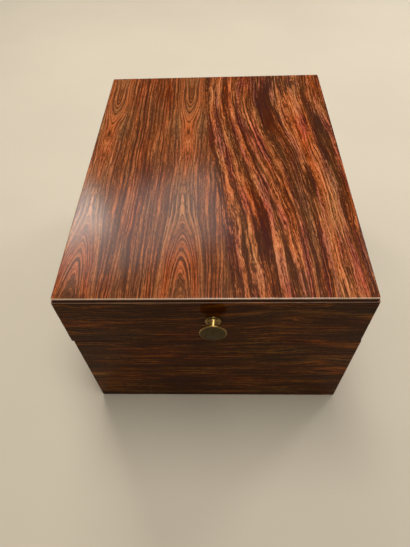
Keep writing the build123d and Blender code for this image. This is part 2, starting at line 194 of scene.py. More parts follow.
@dataclass(frozen=True)
class Finish:
    """What every finish shares: a material of its own, built once for each way of laying it."""

    name: str = "finish"

    def made(self, *options: Enum) -> Material:
        """Builds the material, unless it has been built.

        Args:
            options: the figure, grain or wear with its painted highlight, where the finish has one.

        Returns:
            The material.
        """
        name = " ".join([self.name, *(option.name.lower() for option in options)])
        if name in bpy.data.materials:
            return bpy.data.materials[name]
        material = bpy.data.materials.new(name)
        material.use_nodes = True
        tree = material.node_tree
        tree.nodes.clear()
        shader = add(tree, "BsdfPrincipled")
        metres = add(tree, "TexCoord").outputs["Object"]
        place = add(tree, "VectorMath:MULTIPLY", metres, (1 / MM, 1 / MM, 1 / MM))
        feed(tree, shader, self.lay(tree, place, *options))
        add(tree, "OutputMaterial", self.cover(tree, place, shader))
        return material

    def lay(self, tree: Tree, place: Wire, *options: Enum) -> dict[str, Any]:
        """Builds the pattern's nodes, each finish in its own way.

        Args:
            tree: the material's tree.
            place: the object's own place in mm.
            options: the figure, grain or wear with its painted highlight, where the finish has one.

        Returns:
            What feeds the shader's inputs, by name.
        """
        raise NotImplementedError

    def cover(self, tree: Tree, place: Wire, shader: Node) -> Node:
        """Leaves the shader as it is, where a finish has nothing over it."""
        return shader


@dataclass(frozen=True)
class Pattern:
    """A soft pattern: how often it changes per mm along each axis, and how finely."""

    per_mm: tuple[float, float, float]
    detail: float = 2.0
    crispness: float = 0.5
    kind: str = "TexNoise"


@dataclass(frozen=True)
class MottledFinish(Finish):
    """A finish whose colour and shine drift together, with a finer pattern over them or none."""

    drift: Pattern = Pattern((0.2, 0.2, 0.2))
    stops: Ramp = ()
    roughness: Span = 0.5  # two values are those where the drift is low and high
    fine: Pattern | None = None
    fine_share: float = 0.0  # how much of the colour the finer pattern decides
    relief: float = 0.0  # how strongly the finer pattern stands out
    relief_mm: float = 0.1
    constants: Constants = ()

    def lay(self, tree: Tree, place: Wire, *options: Enum) -> dict[str, Any]:
        """Builds the drift, the finer pattern over it and the colours.

        Args:
            tree: the material's tree.
            place: the object's own place in mm.
            options: none.

        Returns:
            What feeds the shader's inputs, by name.
        """
        node = partial(add, tree)
        layers = [
            node(p.kind, node("Mapping", place, None, None, p.per_mm), 1.0, p.detail, p.crispness)
            for p in (self.drift, self.fine)
            if p
        ]
        drift = tone = layers[0]
        fed: dict[str, Any] = dict(self.constants)
        if self.fine:
            relief = {"Strength": self.relief, "Distance": self.relief_mm * MM}
            fed["Normal"] = node("Bump", {**relief, "Height": layers[1]})
        if self.fine_share:
            tone = node("Mix:FLOAT", self.fine_share, drift, layers[1])
        fed["Base Color"] = node("ValToRGB", tone, stops=self.stops)
        fed["Roughness"] = self.roughness
        if isinstance(self.roughness, tuple):
            fed["Roughness"] = node("MapRange", drift, 0.3, 0.7, *self.roughness)
        return fed


@dataclass(frozen=True)
class BareMetal(MottledFinish):
    """A metal with nothing over it."""

    constants: Constants = (("Metallic", 1.0),)


@dataclass(frozen=True)
class PolishedBrass(BareMetal):
    """Brass, turned and polished long ago: warm yellow, browner in blotches, faintly scratched."""

    name: str = "brass, turned and tarnished"
    drift: Pattern = Pattern((0.22, 0.22, 0.22), 4.0, 0.6)
    stops: Ramp = ((0.3, "#7D6333"), (0.5, "#9C7E48"), (0.7, "#B09157"))
    roughness: Span = (0.4, 0.24)
    fine: Pattern | None = Pattern((9.0, 1.2, 1.2))  # polishing scratches, 0.1 mm apart
    relief: float = 0.05


@dataclass(frozen=True)
class DarkenedBrass(BareMetal):
    """Brass left to darken in a turned-down face: olive brown, dull, with a trace of shine."""

    name: str = "brass, turned and darkened"
    drift: Pattern = Pattern((0.35, 0.35, 0.35), 4.0, 0.6)
    stops: Ramp = ((0.3, "#3B2F14"), (0.7, "#4C3D1C"))
    roughness: Span = (0.46, 0.36)


@dataclass(frozen=True)
class TurnedSteel(BareMetal):
    """Mild steel, turned and left plain: grey, dull, with fine marks."""

    name: str = "mild steel, turned"
    drift: Pattern = Pattern((1.5, 1.5, 1.5), 3.0)
    stops: Ramp = ((0.3, "#8C8882"), (0.7, "#ACA9A4"))
    roughness: Span = (0.42, 0.3)


@dataclass(frozen=True)
class SilveredGlass(BareMetal):
    """Mirror glass, silvered behind and bevelled: a clear reflection with a faint green cast."""

    name: str = "mirror glass, silvered"
    drift: Pattern = Pattern((0.02, 0.02, 0.02), 4.0)
    stops: Ramp = ((0.3, "#DCE3DF"), (0.7, "#E4EAE7"))
    roughness: Span = (0.03, 0.015)


@dataclass(frozen=True)
class CottonVelvet(MottledFinish):
    """Cotton velvet: a deep bottle green whose pile catches light at grazing angles."""

    name: str = "cotton velvet"
    drift: Pattern = Pattern((1 / 30, 1 / 30, 1 / 30))  # patches in which the pile leans alike
    stops: Ramp = ((0.36, "#10291F"), (0.5, "#17392B"), (0.64, "#1F4737"))
    roughness: Span = 0.95
    # The pile, drawn 0.7 mm coarse so that it shows.
    fine: Pattern | None = Pattern((1 / 0.7, 1 / 0.7, 1 / 0.7), 3.0, 0.7)
    fine_share: float = 0.72
    relief: float = 0.5
    relief_mm: float = 0.3
    constants: Constants = (
        ("Specular IOR Level", 0.2),
        ("Sheen Weight", 0.6),
        ("Sheen Roughness", 0.35),
        ("Sheen Tint", "#7FB79C"),
    )


@dataclass(frozen=True)
class BridleLeather(MottledFinish):
    """Bridle leather, waxed: dark tan, finely creased."""

    name: str = "bridle leather, waxed"
    drift: Pattern = Pattern((0.25, 0.25, 0.25), 4.0)
    stops: Ramp = ((0.25, "#3E2013"), (0.7, "#6B3A22"))
    fine: Pattern | None = Pattern((1.3, 1.3, 1.3), 0.0, 0.5, "TexVoronoi")
    fine_share: float = 0.3
    relief: float = 0.35
    relief_mm: float = 0.2


@dataclass(frozen=True)
class LinenThread(MottledFinish):
    """Waxed linen thread: cream, twisted."""

    name: str = "linen thread, waxed"
    drift: Pattern = Pattern((5.0, 5.0, 5.0))
    stops: Ramp = ((0.3, "#B79C6C"), (0.7, "#D9C59A"))
    roughness: Span = 0.75


@dataclass(frozen=True)
class WoollenBaize(Finish):
    """Woollen baize: a plain weave felted over, so threads show only as a faint grid."""

    name: str = "woollen baize"
    thread_mm: float = 1.1
    thread_share: float = 0.08  # how much the threads show under the nap

    def lay(self, tree: Tree, place: Wire, *options: Enum) -> dict[str, Any]:
        """Builds the nap and the threads under it.

        Args:
            tree: the material's tree.
            place: the object's own place in mm.
            options: none.

        Returns:
            What feeds the shader's inputs, by name.
        """
        node = partial(add, tree)
        nap = node("TexNoise", place, 1.4, 4.0, 0.7)
        pitch = 2 * math.pi / self.thread_mm
        x, y, _ = node("SeparateXYZ", place).outputs
        threads = [node("Math:SINE", node("Math:MULTIPLY", axis, pitch)) for axis in (x, y)]
        weave = node("Math:MULTIPLY", *threads)
        faint = node("Math:MULTIPLY_ADD", weave, self.thread_share, nap)
        return {
            "Base Color": node("ValToRGB", faint, stops=((0.35, "#173F22"), (0.65, "#2B6338"))),
            "Roughness": 0.97,
            "Sheen Weight": 0.35,
            "Normal": node("Bump", {"Strength": 0.4, "Distance": 0.2 * MM, "Height": faint}),
        }


@dataclass(frozen=True)
class BirchPlywood(Finish):
    """Birch plywood, sanded and left bare: pale, faintly figured, with its plies in the edges."""

    name: str = "birch plywood, sanded"
    ply_mm: float = 1.0

    def lay(self, tree: Tree, place: Wire, *options: Enum) -> dict[str, Any]:
        """Builds the figure and the plies.

        Args:
            tree: the material's tree.
            place: the object's own place in mm.
            options: none.

        Returns:
            What feeds the shader's inputs, by name.
        """
        node = partial(add, tree)
        figure = node("TexNoise", node("Mapping", place, None, None, (0.012, 0.08, 0.1)), 1.0, 4.0)
        tones = ((0.3, "#C09A68"), (0.5, "#CFAC7B"), (0.7, "#BD9461"))
        height = node("SeparateXYZ", place).outputs[2]
        layer = node("Math:PINGPONG", height, 2 * self.ply_mm)
        ply = node("MapRange", layer, 0.45 * self.ply_mm, 0.55 * self.ply_mm, 0.0, 0.45)
        face = node("ValToRGB", figure, stops=tones)
        return {"Base Color": node("Mix:RGBA", ply, face, "#8E6A42"), "Roughness": 0.68}


@dataclass(frozen=True)
class OiledMahogany(Finish):
    """Solid mahogany, planed and oiled: even red-brown, fine dark pores, a soft shine."""

    name: str = "mahogany, planed and oiled"
    light: str = "#8A4526"
    dark: str = "#5B2A17"

    def colour(self, tree: Tree, place: Wire, grain: Grain) -> Node:
        """Builds the wood's colour from broad bands and fine fibres.

        Args:
            tree: the material's tree.
            place: the object's own place in mm.
            grain: which way the grain runs.

        Returns:
            The colour.
        """
        node = partial(add, tree)
        laid = node("Mapping", place, None, grain.value)
        bands = node("Mapping", laid, None, None, (0.006, 0.12, 0.12))
        fibres = node("Mapping", laid, None, None, (0.09, 2.2, 2.2))
        layers = node("TexNoise", bands, 1.0, 3.0, 0.6), node("TexNoise", fibres, 1.0, 2.0)
        tone = node("MapRange", node("Mix:FLOAT", 0.4, *layers), 0.36, 0.64)
        return node("Mix:RGBA", tone, self.dark, self.light)

    def lay(self, tree: Tree, place: Wire, *options: Enum) -> dict[str, Any]:
        """Builds the wood with its grain one way.

        Args:
            tree: the material's tree.
            place: the object's own place in mm.
            options: the grain.

        Returns:
            What feeds the shader's inputs, by name.
        """
        node = partial(add, tree)
        grain = options[0]
        laid = node("Mapping", place, None, grain.value, (0.25, 4.0, 4.0))
        pores = node("TexNoise", laid, 1.0, 2.0)
        pitted = node("MapRange", pores, 0.6, 0.7, 0.0, -1.0)
        return {
            "Base Color": self.colour(tree, place, grain),
            "Roughness": 0.42,
            "Normal": node("Bump", {"Strength": 0.2, "Distance": 0.1 * MM, "Height": pitted}),
        }


@dataclass(frozen=True)
class Streak:
    """One width of line in the wood: how wide and long it is, and how far it moves the tone."""

    width_mm: float
    length_mm: float
    share: float


@dataclass(frozen=True)
class Stain:
    """A dark patch in the wood: its middle, its half sizes and how dark it is."""

    middle_mm: tuple[float, float]
    half_mm: tuple[float, float]
    depth: float


@dataclass(frozen=True)
class Tint:
    """How a veneer's colour turns: in brown wood, in grey wood, and further in crimson streaks."""

    brown: float
    grey: float
    crimson: float


@dataclass(frozen=True)
class RosewoodVeneer(Finish):
    """Sliced rosewood, 0.7 mm thick, on mahogany boards, filled and lacquered.

    The eye gets near-black growth lines on red-brown, orange heartwood between them, crimson
    streaks, open pores as short dark dashes and, over it all, a rubbed lacquer film that mirrors
    softly. A tone of 0 is a black line and 1 is orange heartwood.
    """

    name: str = "rosewood veneer, lacquered"
    tones: Ramp = (
        (0.0, "#401D08"),
        (0.25, "#613315"),
        (0.5, "#80461F"),
        (0.7, "#9B5729"),
        (0.85, "#B3683A"),
        (1.0, "#CC8452"),
    )
    pore: str = "#1A0A06"
    # A painted highlight, laid on the narrow ledge at the top of the lid's boards.
    ledge: str = "#A5826A"
    # A painted highlight, laid half over the front arris's colour.
    arris: str = "#E2C3A2"
    leaf_mm: float = 81.3  # width of one slip-matched leaf
    first_leaf_mm: float = -86.0  # where one of them starts
    heart_mm: float = 59.1  # how far into its leaf a heart is
    joint_mm: float = -11.3  # where the slip-matched leaves end, at the back
    half_depth_mm: float = 159.0  # half the box, front to back
    half_width_mm: float = 120.0
    lid_wider_mm: float = 0.5  # on each side
    lid_left_mm: float = 1.1  # how far the lid hangs to the left
    seam_mm: float = 114.15  # heights: where the lid meets the base,
    ledge_mm: tuple[float, float] = (170.5, 170.8)  # where a pale highlight is painted on the boards' top,
    panel_mm: float = 170.9  # and where the top panel lies on them
    apart_mm: float = 300.0  # the flowing leaf's growth lines are laid out this much further on
    arch_mm: float = 26.0  # how far the arches reach from a heart
    lean_mm: float = 41.0  # how far the flowing leaf's lines lean right
    flowing_mm: tuple[float, float] = (130.0, 131.0)  # how wide its lean and its tone reach
    fray_mm: tuple[float, float, float] = (0.7, 2.4, 30.0)  # at hearts, in the flow, along it
    skin_mm: float = 0.7
    ring_mm: float = 3.6  # from one growth line to the next
    ring_share: float = 0.42
    coat: float = 0.25
    thin_coat: float = 0.22  # on the upright boards and the band
    # Upright boards are darker than the top, partly a darker leaf and partly painted shade.
    light: Mapping[Figure, float] = field(
        default_factory=lambda: {
            Figure.LEAVES: 0.92,
            # The band's low value is painted shade.
            Figure.BAND: 0.45,
            Figure.WIDTHWAYS: 0.62,
            Figure.LENGTHWAYS: 0.62,
        }
    )
    # How far the growth lines stray to each side, and over what width and length of wood.
    leaf_strays_mm: tuple[tuple[float, float, float], ...] = ((4.0, 50.0, 150.0), (2.0, 16.0, 60.0))
    board_strays_mm: tuple[tuple[float, float, float], ...] = (
        (11.0, 38.0, 150.0),
        (3.2, 10.0, 40.0),
        (0.9, 3.0, 12.0),
    )
    streaks: tuple[Streak, ...] = (
        Streak(5.0, 150.0, 0.11),
        Streak(2.6, 80.0, 0.16),
        Streak(1.4, 50.0, 0.19),
        Streak(0.7, 18.0, 0.24),
        Streak(0.4, 5.0, 0.2),
    )
    stains: tuple[Stain, ...] = (
        Stain((53.0, 96.0), (9.5, 44.0), 0.34),
        Stain((74.0, 144.0), (14.0, 22.0), 0.34),
        Stain((86.0, -31.0), (3.6, 22.0), 0.5),
        Stain((37.0, -94.0), (8.0, 28.0), 0.34),
        Stain((107.0, 38.0), (7.0, 44.0), 0.34),
        Stain((-103.0, -158.0), (9.0, 11.0), 0.3),
    )
    # How far the lines round a heart are pulled into arches, from the front to the back.
    pinch: Curve = (
        *((0.0, 1.0), (0.1, 0.66), (0.2, 0.25), (0.27, 0.04), (0.3, 0.0), (0.68, 0.0)),
        *((0.73, 0.1), (0.84, 0.55), (0.9, 0.66), (0.95, 0.7), (1.0, 0.82)),
    )
    # The tone across the growth lines of a leaf with a heart, from the heart out.
    heart_tone: Curve = (
        *((0.0, 0.48), (0.3, 0.57), (0.42, 0.57), (0.46, 0.44), (0.5, 0.52), (0.55, 0.48)),
        *((0.62, 0.51), (0.68, 0.46), (0.74, 0.39), (0.79, 0.39), (0.83, 0.51), (0.9, 0.44)),
        *((0.96, 0.41), (1.0, 0.46)),
    )
    # How far the flowing leaf's lines lean, from the joint to the right edge.
    lean: Curve = (
        *((0.0, 0.32), (0.19, 0.6), (0.26, 0.66), (0.45, 0.85), (0.6, 0.96), (0.72, 0.75)),
        *((0.77, 0.6), (0.95, 0.42), (1.0, 0.15)),
    )
    # How much of that lean they have, from the front to the back.
    flow: Curve = (
        *((0.0, 1.0), (0.2, 0.88), (0.4, 0.64), (0.6, 0.3), (0.74, 0.06), (0.82, 0.0)),
        (1.0, 0.0),
    )
    # The tone across the flowing leaf's growth lines.
    flowing_tone: Curve = (
        *((0.0, 0.27), (0.035, 0.29), (0.055, 0.67), (0.085, 0.41), (0.12, 0.67), (0.15, 0.42)),
        *((0.18, 0.24), (0.205, 0.69), (0.235, 0.34), (0.25, 0.23), (0.28, 0.63), (0.31, 0.37)),
        *((0.33, 0.62), (0.35, 0.25), (0.38, 0.61), (0.41, 0.28), (0.47, 0.34), (0.53, 0.28)),
        *((0.565, 0.42), (0.6, 0.58), (0.7, 0.62), (0.79, 0.58), (0.83, 0.24), (0.87, 0.27)),
        *((0.9, 0.59), (0.94, 0.56), (0.96, 0.32), (1.0, 0.34)),
    )
    # A growth line: dark, softening to one side.
    ring: Curve = (
        *((0.0, 1.0), (0.14, 1.0), (0.28, 0.4), (0.5, 0.0), (0.85, 0.15), (0.93, 0.4)),
        (1.0, 1.0),
    )
    # A steep middle gives the lines crisp sides; the flat ends keep the wood from going plain.
    edge: Curve = (
        *((0.0, 0.0), (0.2, 0.08), (0.38, 0.22), (0.5, 0.48), (0.62, 0.72), (0.8, 0.88)),
        (1.0, 1.0),
    )

    def lay(self, tree: Tree, place: Wire, *options: Enum) -> dict[str, Any]:
        """Builds the veneer for one way of laying it.

        Args:
            tree: the material's tree.
            place: the object's own place in mm.
            options: the figure, and its wear with its painted highlight if it has any.

        Returns:
            What feeds the shader's inputs, by name.
        """
        node = partial(add, tree)
        figure, worn = options[0], Wear.RUBBED in options
        x, y, z = node("SeparateXYZ", place).outputs
        ways = {Figure.LEAVES: (x, y), Figure.WIDTHWAYS: (z, x)}
        across, along = ways.get(figure, (z, y))
        flat = node("CombineXYZ", across, along, 0.0)
        growth, tone = self._growth(tree, flat, figure)
        tone = self._streaked(tree, growth, flat, tone)
        surface = self._tinted(tree, growth, tone, figure)
        # Dark dashes, 0.3 mm wide and a few mm long.
        dashes = node("TexNoise", node("Mapping", flat, None, None, (2.2, 0.25, 1)), 1.0, 2.0)
        pores = node("MapRange", dashes, 0.54, 0.68, 0.0, 0.65)
        layers: list[tuple[Any, Any]] = [(pores, self.pore)]
        if figure is not Figure.BAND:
            wood = OiledMahogany().colour(tree, place, Grain.LEFT_RIGHT)
            layers.append((self._core(tree, place, figure), wood))
        if figure in (Figure.WIDTHWAYS, Figure.LENGTHWAYS):
            # The very top of the lid's boards is a narrow ledge, painted pale as a highlight.
            layers.append((node("MapRange", z, *self.ledge_mm, 0.0, 0.45), self.ledge))
        # The front arris gets a pale painted highlight here and a full gloss coat below.
        if worn:
            layers.append((0.5, self.arris))
        for share, colour in layers:
            surface = node("Mix:RGBA", share, surface, colour)
        rubbed = node("TexNoise", node("Mapping", place, None, None, (0.012, 0.03, 0.02)), 1.0, 3.0)
        sunk = node("Math:MULTIPLY", pores, -1.0)
        coat = self.coat if figure is Figure.LEAVES else self.thin_coat
        return {
            "Base Color": surface,
            "Roughness": node("MapRange", rubbed, 0.35, 0.65, 0.44, 0.54),
            "Specular IOR Level": 0.0,
            "Coat Weight": 1.0 if worn else coat,
            "Coat Roughness": 0.15,
            "Normal": node("Bump", {"Strength": 0.1, "Distance": 0.1 * MM, "Height": sunk}),
        }

    def _growth(self, tree: Tree, flat: Wire, figure: Figure) -> tuple[Wire, Wire]:
        """Lays out the growth lines.

        Args:
            tree: the material's tree.
            flat: mm across the grain in X and along it in Y.
            figure: how the veneer is laid.

        Returns:
            Where a point is among the growth lines, as mm across in X and mm along in Y, and the
            tone laid over it before any streak.
        """
        node = partial(add, tree)
        leaves = figure is Figure.LEAVES
        across, along, _ = node("SeparateXYZ", flat).outputs
        for stray, width, length in self.leaf_strays_mm if leaves else self.board_strays_mm:
            placed = node("Mapping", flat, (stray, 0, 0), None, (1 / width, 1 / length, 1))
            noise = node("TexNoise", placed, 1.0, 1.0)
            moved = node("MapRange", noise, 0.0, 1.0, -stray, stray)
            across = node("Math:ADD", across, moved)
        if leaves:
            return self._leaves(tree, flat, across, along)
        growth = node("CombineXYZ", across, along, 0.0)
        placed = node("Mapping", growth, (7.0, 3.0, 0), None, (0.12, 0.014, 1))
        lens = node("TexNoise", placed, 1.0, 3.0)
        return growth, node("MapRange", lens, 0.3, 0.75, 0.12, 0.7)

    def _leaves(self, tree: Tree, flat: Wire, across: Wire, along: Wire) -> tuple[Wire, Wire]:
        """Lays out the lid's figure: two leaves with a heart each, then one that flows right.

        Args:
            tree: the material's tree.
            flat: mm across the grain in X and along it in Y.
            across: mm across the grain, already strayed.
            along: mm along the grain, growing to the back of the box.

        Returns:
            Where a point is among the growth lines, and the tone laid over it.
        """
        node = partial(add, tree)
        up = node("MapRange", along, -self.half_depth_mm, self.half_depth_mm)
        # How far to a side the finest part of a line strays, -1 to 1.
        threads = node("TexNoise", node("Mapping", flat, None, None, (0.2, 0.03, 1)), 1.0, 4.0, 0.6)
        frayed = node("MapRange", threads, 0.0, 1.0, -1.0, 1.0)
        at_heart, in_flow, lengthways = self.fray_mm
        # The hearts: the distance from a leaf's heart, pinched into arches at both ends.
        steady = node("Math:MULTIPLY_ADD", frayed, at_heart, across)
        start = node("Math:SUBTRACT", steady, self.first_leaf_mm)
        leaf = node("Math:FLOORED_MODULO", start, self.leaf_mm)
        local = node("Math:SUBTRACT", leaf, self.heart_mm)
        radius = node("Math:SQRT", node("Math:MULTIPLY_ADD", local, local, 3.0))
        spread = node("MapRange", up, 0.2, 0.8, 27.0, 17.0)
        near = node("MapRange", radius, 0.0, spread, 1.0, 0.0, interpolation_type="SMOOTHSTEP")
        pinched = node("Math:MULTIPLY", node("FloatCurve", 1.0, up, points=self.pinch), near)
        arches = node("Math:MULTIPLY", pinched, self.arch_mm)
        left = node("Math:SUBTRACT", radius, arches)
        reach = node("MapRange", left, -self.arch_mm, 60.0)
        left_tone = node("FloatCurve", 1.0, reach, points=self.heart_tone)
        # The flowing leaf: its lines lean right on their way to the front.
        ragged = node("Math:MULTIPLY_ADD", frayed, in_flow, across)
        from_joint = node("Math:SUBTRACT", ragged, self.joint_mm)
        width = node("MapRange", from_joint, 0.0, self.flowing_mm[0])
        lean = node("FloatCurve", 1.0, width, points=self.lean)
        flow = node("FloatCurve", 1.0, up, points=self.flow)
        leaning = node("Math:MULTIPLY", node("Math:MULTIPLY", lean, flow), self.lean_mm)
        right = node("Math:SUBTRACT", from_joint, leaning)
        reach = node("MapRange", right, 0.0, self.flowing_mm[1])
        right_tone = node("FloatCurve", 1.0, reach, points=self.flowing_tone)
        side = node("Math:GREATER_THAN", right, 0.0)
        growth = node("Mix:FLOAT", side, left, node("Math:ADD", right, self.apart_mm))
        tone = node("Mix:FLOAT", side, left_tone, right_tone)
        torn = node("Math:MULTIPLY_ADD", frayed, lengthways, along)
        spot = node("CombineXYZ", ragged, torn, 0.0)
        for stain in self.stains:
            (middle, behind), (wide, long) = stain.middle_mm, stain.half_mm
            shift = (-middle / wide, -behind / long, 0)
            centred = node("Mapping", spot, shift, None, (1 / wide, 1 / long, 1))
            reach = node("VectorMath:LENGTH", centred)
            tone = node("Math:ADD", tone, node("MapRange", reach, 0.75, 1.15, -stain.depth, 0.0))
        return node("CombineXYZ", growth, along, 0.0), tone

    def _streaked(self, tree: Tree, growth: Wire, flat: Wire, tone: Wire) -> Node:
        """Draws the growth lines in their widths, and patches of lighter and darker wood.

        Args:
            tree: the material's tree.
            growth: where a point is among the growth lines, in mm.
            flat: mm across the grain in X and along it in Y.
            tone: the tone laid over them.

        Returns:
            The tone with its streaks.
        """
        node = partial(add, tree)
        calm = node("MapRange", tone, 0.5, 0.6, -self.ring_share, -0.4 * self.ring_share)
        total = node("Math:MULTIPLY_ADD", self._rings(tree, growth), calm, tone)
        # The flowing leaf is the more broken up.
        where = node("SeparateXYZ", growth)
        busy = node("MapRange", where, self.apart_mm - 100.0, self.apart_mm - 50.0, 1.0, 1.8)
        for streak in self.streaks:
            scale = (1 / streak.width_mm, 1 / streak.length_mm, 1)
            placed = node("Mapping", growth, (9 * streak.width_mm, 0, 0), None, scale)
            noise = node("TexNoise", placed, 1.0, 1.5)
            drawn = node("MapRange", noise, 0.25, 0.75, -streak.share, streak.share, clamp=False)
            total = node("Math:MULTIPLY_ADD", drawn, busy, total)
        patches = node("TexNoise", node("Mapping", flat, None, None, (0.03, 0.011, 1)), 1.0, 2.0)
        total = node("Math:ADD", total, node("MapRange", patches, 0.3, 0.7, -0.05, 0.05))
        return node("FloatCurve", 1.0, node("MapRange", total, -0.2, 1.2), points=self.edge)

    def _rings(self, tree: Tree, growth: Wire) -> Node:
        """Draws a growth line at each ring, fading in places.

        Args:
            tree: the material's tree.
            growth: where a point is among the growth lines, in mm.

        Returns:
            1 in the middle of a line and 0 between them.
        """
        node = partial(add, tree)
        uneven = node("TexNoise", node("Mapping", growth, None, None, (0.11, 0.004, 1)), 1.0, 1.0)
        shift = node("MapRange", uneven, 0.0, 1.0, -4.0, 4.0)
        moved = node("Math:ADD", node("SeparateXYZ", growth), shift)
        count = node("Math:DIVIDE", moved, self.ring_mm)
        line = node("FloatCurve", 1.0, node("Math:FRACT", count), points=self.ring)
        placed = node("Mapping", growth, (5.0, 0, 0), None, (0.25, 0.012, 1))
        shown = node("MapRange", node("TexNoise", placed, 1.0, 1.0), 0.35, 0.6, 0.35, 1.0)
        return node("Math:MULTIPLY", line, shown)

    def _tinted(self, tree: Tree, growth: Wire, tone: Wire, figure: Figure) -> Node:
        """Colours the tones. The wood turns from a full brown to a greyer, yellower one and back.

        Crimson streaks run along the growth lines, most of all in the flowing leaf.

        Args:
            tree: the material's tree.
            growth: where a point is among the growth lines, in mm.
            tone: the streaked tone.
            figure: how the veneer is laid.

        Returns:
            The colour.
        """
        node = partial(add, tree)
        # The value darkens the upright boards and the band, in part as painted shade.
        light = self.light[figure]
        tints = {
            "Hue": Tint(0.494, 0.519, -0.014),
            "Saturation": Tint(1.12, 1.02, -0.04),
            "Value": Tint(1.07 * light, 0.94 * light, -0.2 * light),
        }
        if figure in (Figure.LEAVES, Figure.BAND):
            tints["Hue"] = Tint(0.488, 0.508, -0.014)
            tints["Saturation"] = Tint(1.05, 0.95, -0.04)
        placed = node("Mapping", growth, (31.0, 0, 0), None, (0.06, 0.01, 0))
        greyer = node("TexNoise", placed, 1.0, 3.0, 0.55)
        placed = node("Mapping", growth, (17.0, 0, 0), None, (0.13, 0.012, 0))
        shown = node("MapRange", node("TexNoise", placed, 1.0, 2.0), 0.48, 0.66, 0.0, 1.0)
        where = node("SeparateXYZ", growth)
        most = node("MapRange", where, self.apart_mm - 100.0, self.apart_mm - 50.0, 0.25, 1.0)
        crimson = node("Math:MULTIPLY", shown, most)
        fed: dict[str, Any] = {"Color": node("ValToRGB", tone, stops=self.tones)}
        for name, tint in tints.items():
            turned = node("MapRange", greyer, 0.3, 0.7, tint.brown, tint.grey)
            fed[name] = node("Math:MULTIPLY_ADD", crimson, tint.crimson, turned)
        return node("HueSaturation", fed)

    def _core(self, tree: Tree, place: Wire, figure: Figure) -> Node:
        """Finds where a board shows the mahogany it is made of, under its veneer.

        Args:
            tree: the material's tree.
            place: the object's own place in mm.
            figure: how the veneer is laid.

        Returns:
            1 on the mahogany and 0 on the veneer.
        """
        node = partial(add, tree)
        x, y, z = node("SeparateXYZ", place).outputs
        if figure is Figure.LEAVES:
            return node("Math:LESS_THAN", z, self.panel_mm)
        offset, outer = y, self.half_depth_mm
        if figure is Figure.LENGTHWAYS:
            lid = node("Math:GREATER_THAN", z, self.seam_mm)
            offset = node("Math:MULTIPLY_ADD", lid, self.lid_left_mm, x)
            outer = node("Math:MULTIPLY_ADD", lid, self.lid_wider_mm, self.half_width_mm)
        depth = node("Math:SUBTRACT", outer, node("Math:ABSOLUTE", offset))
        return node("Math:GREATER_THAN", depth, self.skin_mm)


@dataclass(frozen=True)
class BackdropPaper(Finish):
    """Studio backdrop paper: matt, warm grey, faintly cloudy, pale in the distance."""

    name: str = "backdrop paper"
    tone: str = "#BEB3A0"
    far_tone: str = "#F1ECE4"
    far_light: float = 0.9
    fade_mm: tuple[float, float] = (850.0, 2100.0)  # where the paper goes over into the distance

    def lay(self, tree: Tree, place: Wire, *options: Enum) -> dict[str, Any]:
        """Builds the cloudy grey.

        Args:
            tree: the material's tree.
            place: the object's own place in mm.
            options: none.

        Returns:
            What feeds the shader's inputs, by name.
        """
        node = partial(add, tree)
        clouds = node("TexNoise", node("Mapping", place, None, None, (0.004, 0.004, 0)), 1.0, 3.0)
        cloudy = node("MapRange", clouds, 0.3, 0.7, 0.97, 1.03)
        colour = node("HueSaturation", {"Value": cloudy, "Color": self.tone})
        return {"Base Color": colour, "Roughness": 0.85, "Specular IOR Level": 0.3}

    def cover(self, tree: Tree, place: Wire, shader: Node) -> Node:
        """Fades the far paper, seen directly or in a mirror, into the wall behind it.

        Args:
            tree: the material's tree.
            place: the object's own place in mm.
            shader: the paper's shader.

        Returns:
            The faded shader.
        """
        node = partial(add, tree)
        away = node("VectorMath:LENGTH", place)
        faded = node("MapRange", away, *self.fade_mm, 0.0, 1.0, interpolation_type="SMOOTHSTEP")
        rays = node("LightPath").outputs
        seen = node("Math:MAXIMUM", rays["Is Camera Ray"], rays["Is Glossy Ray"])
        share = node("Math:MULTIPLY", faded, seen)
        return node("MixShader", share, shader, node("Emission", self.far_tone, self.far_light))


# ---------------------------------------------------------------- modelling by hand


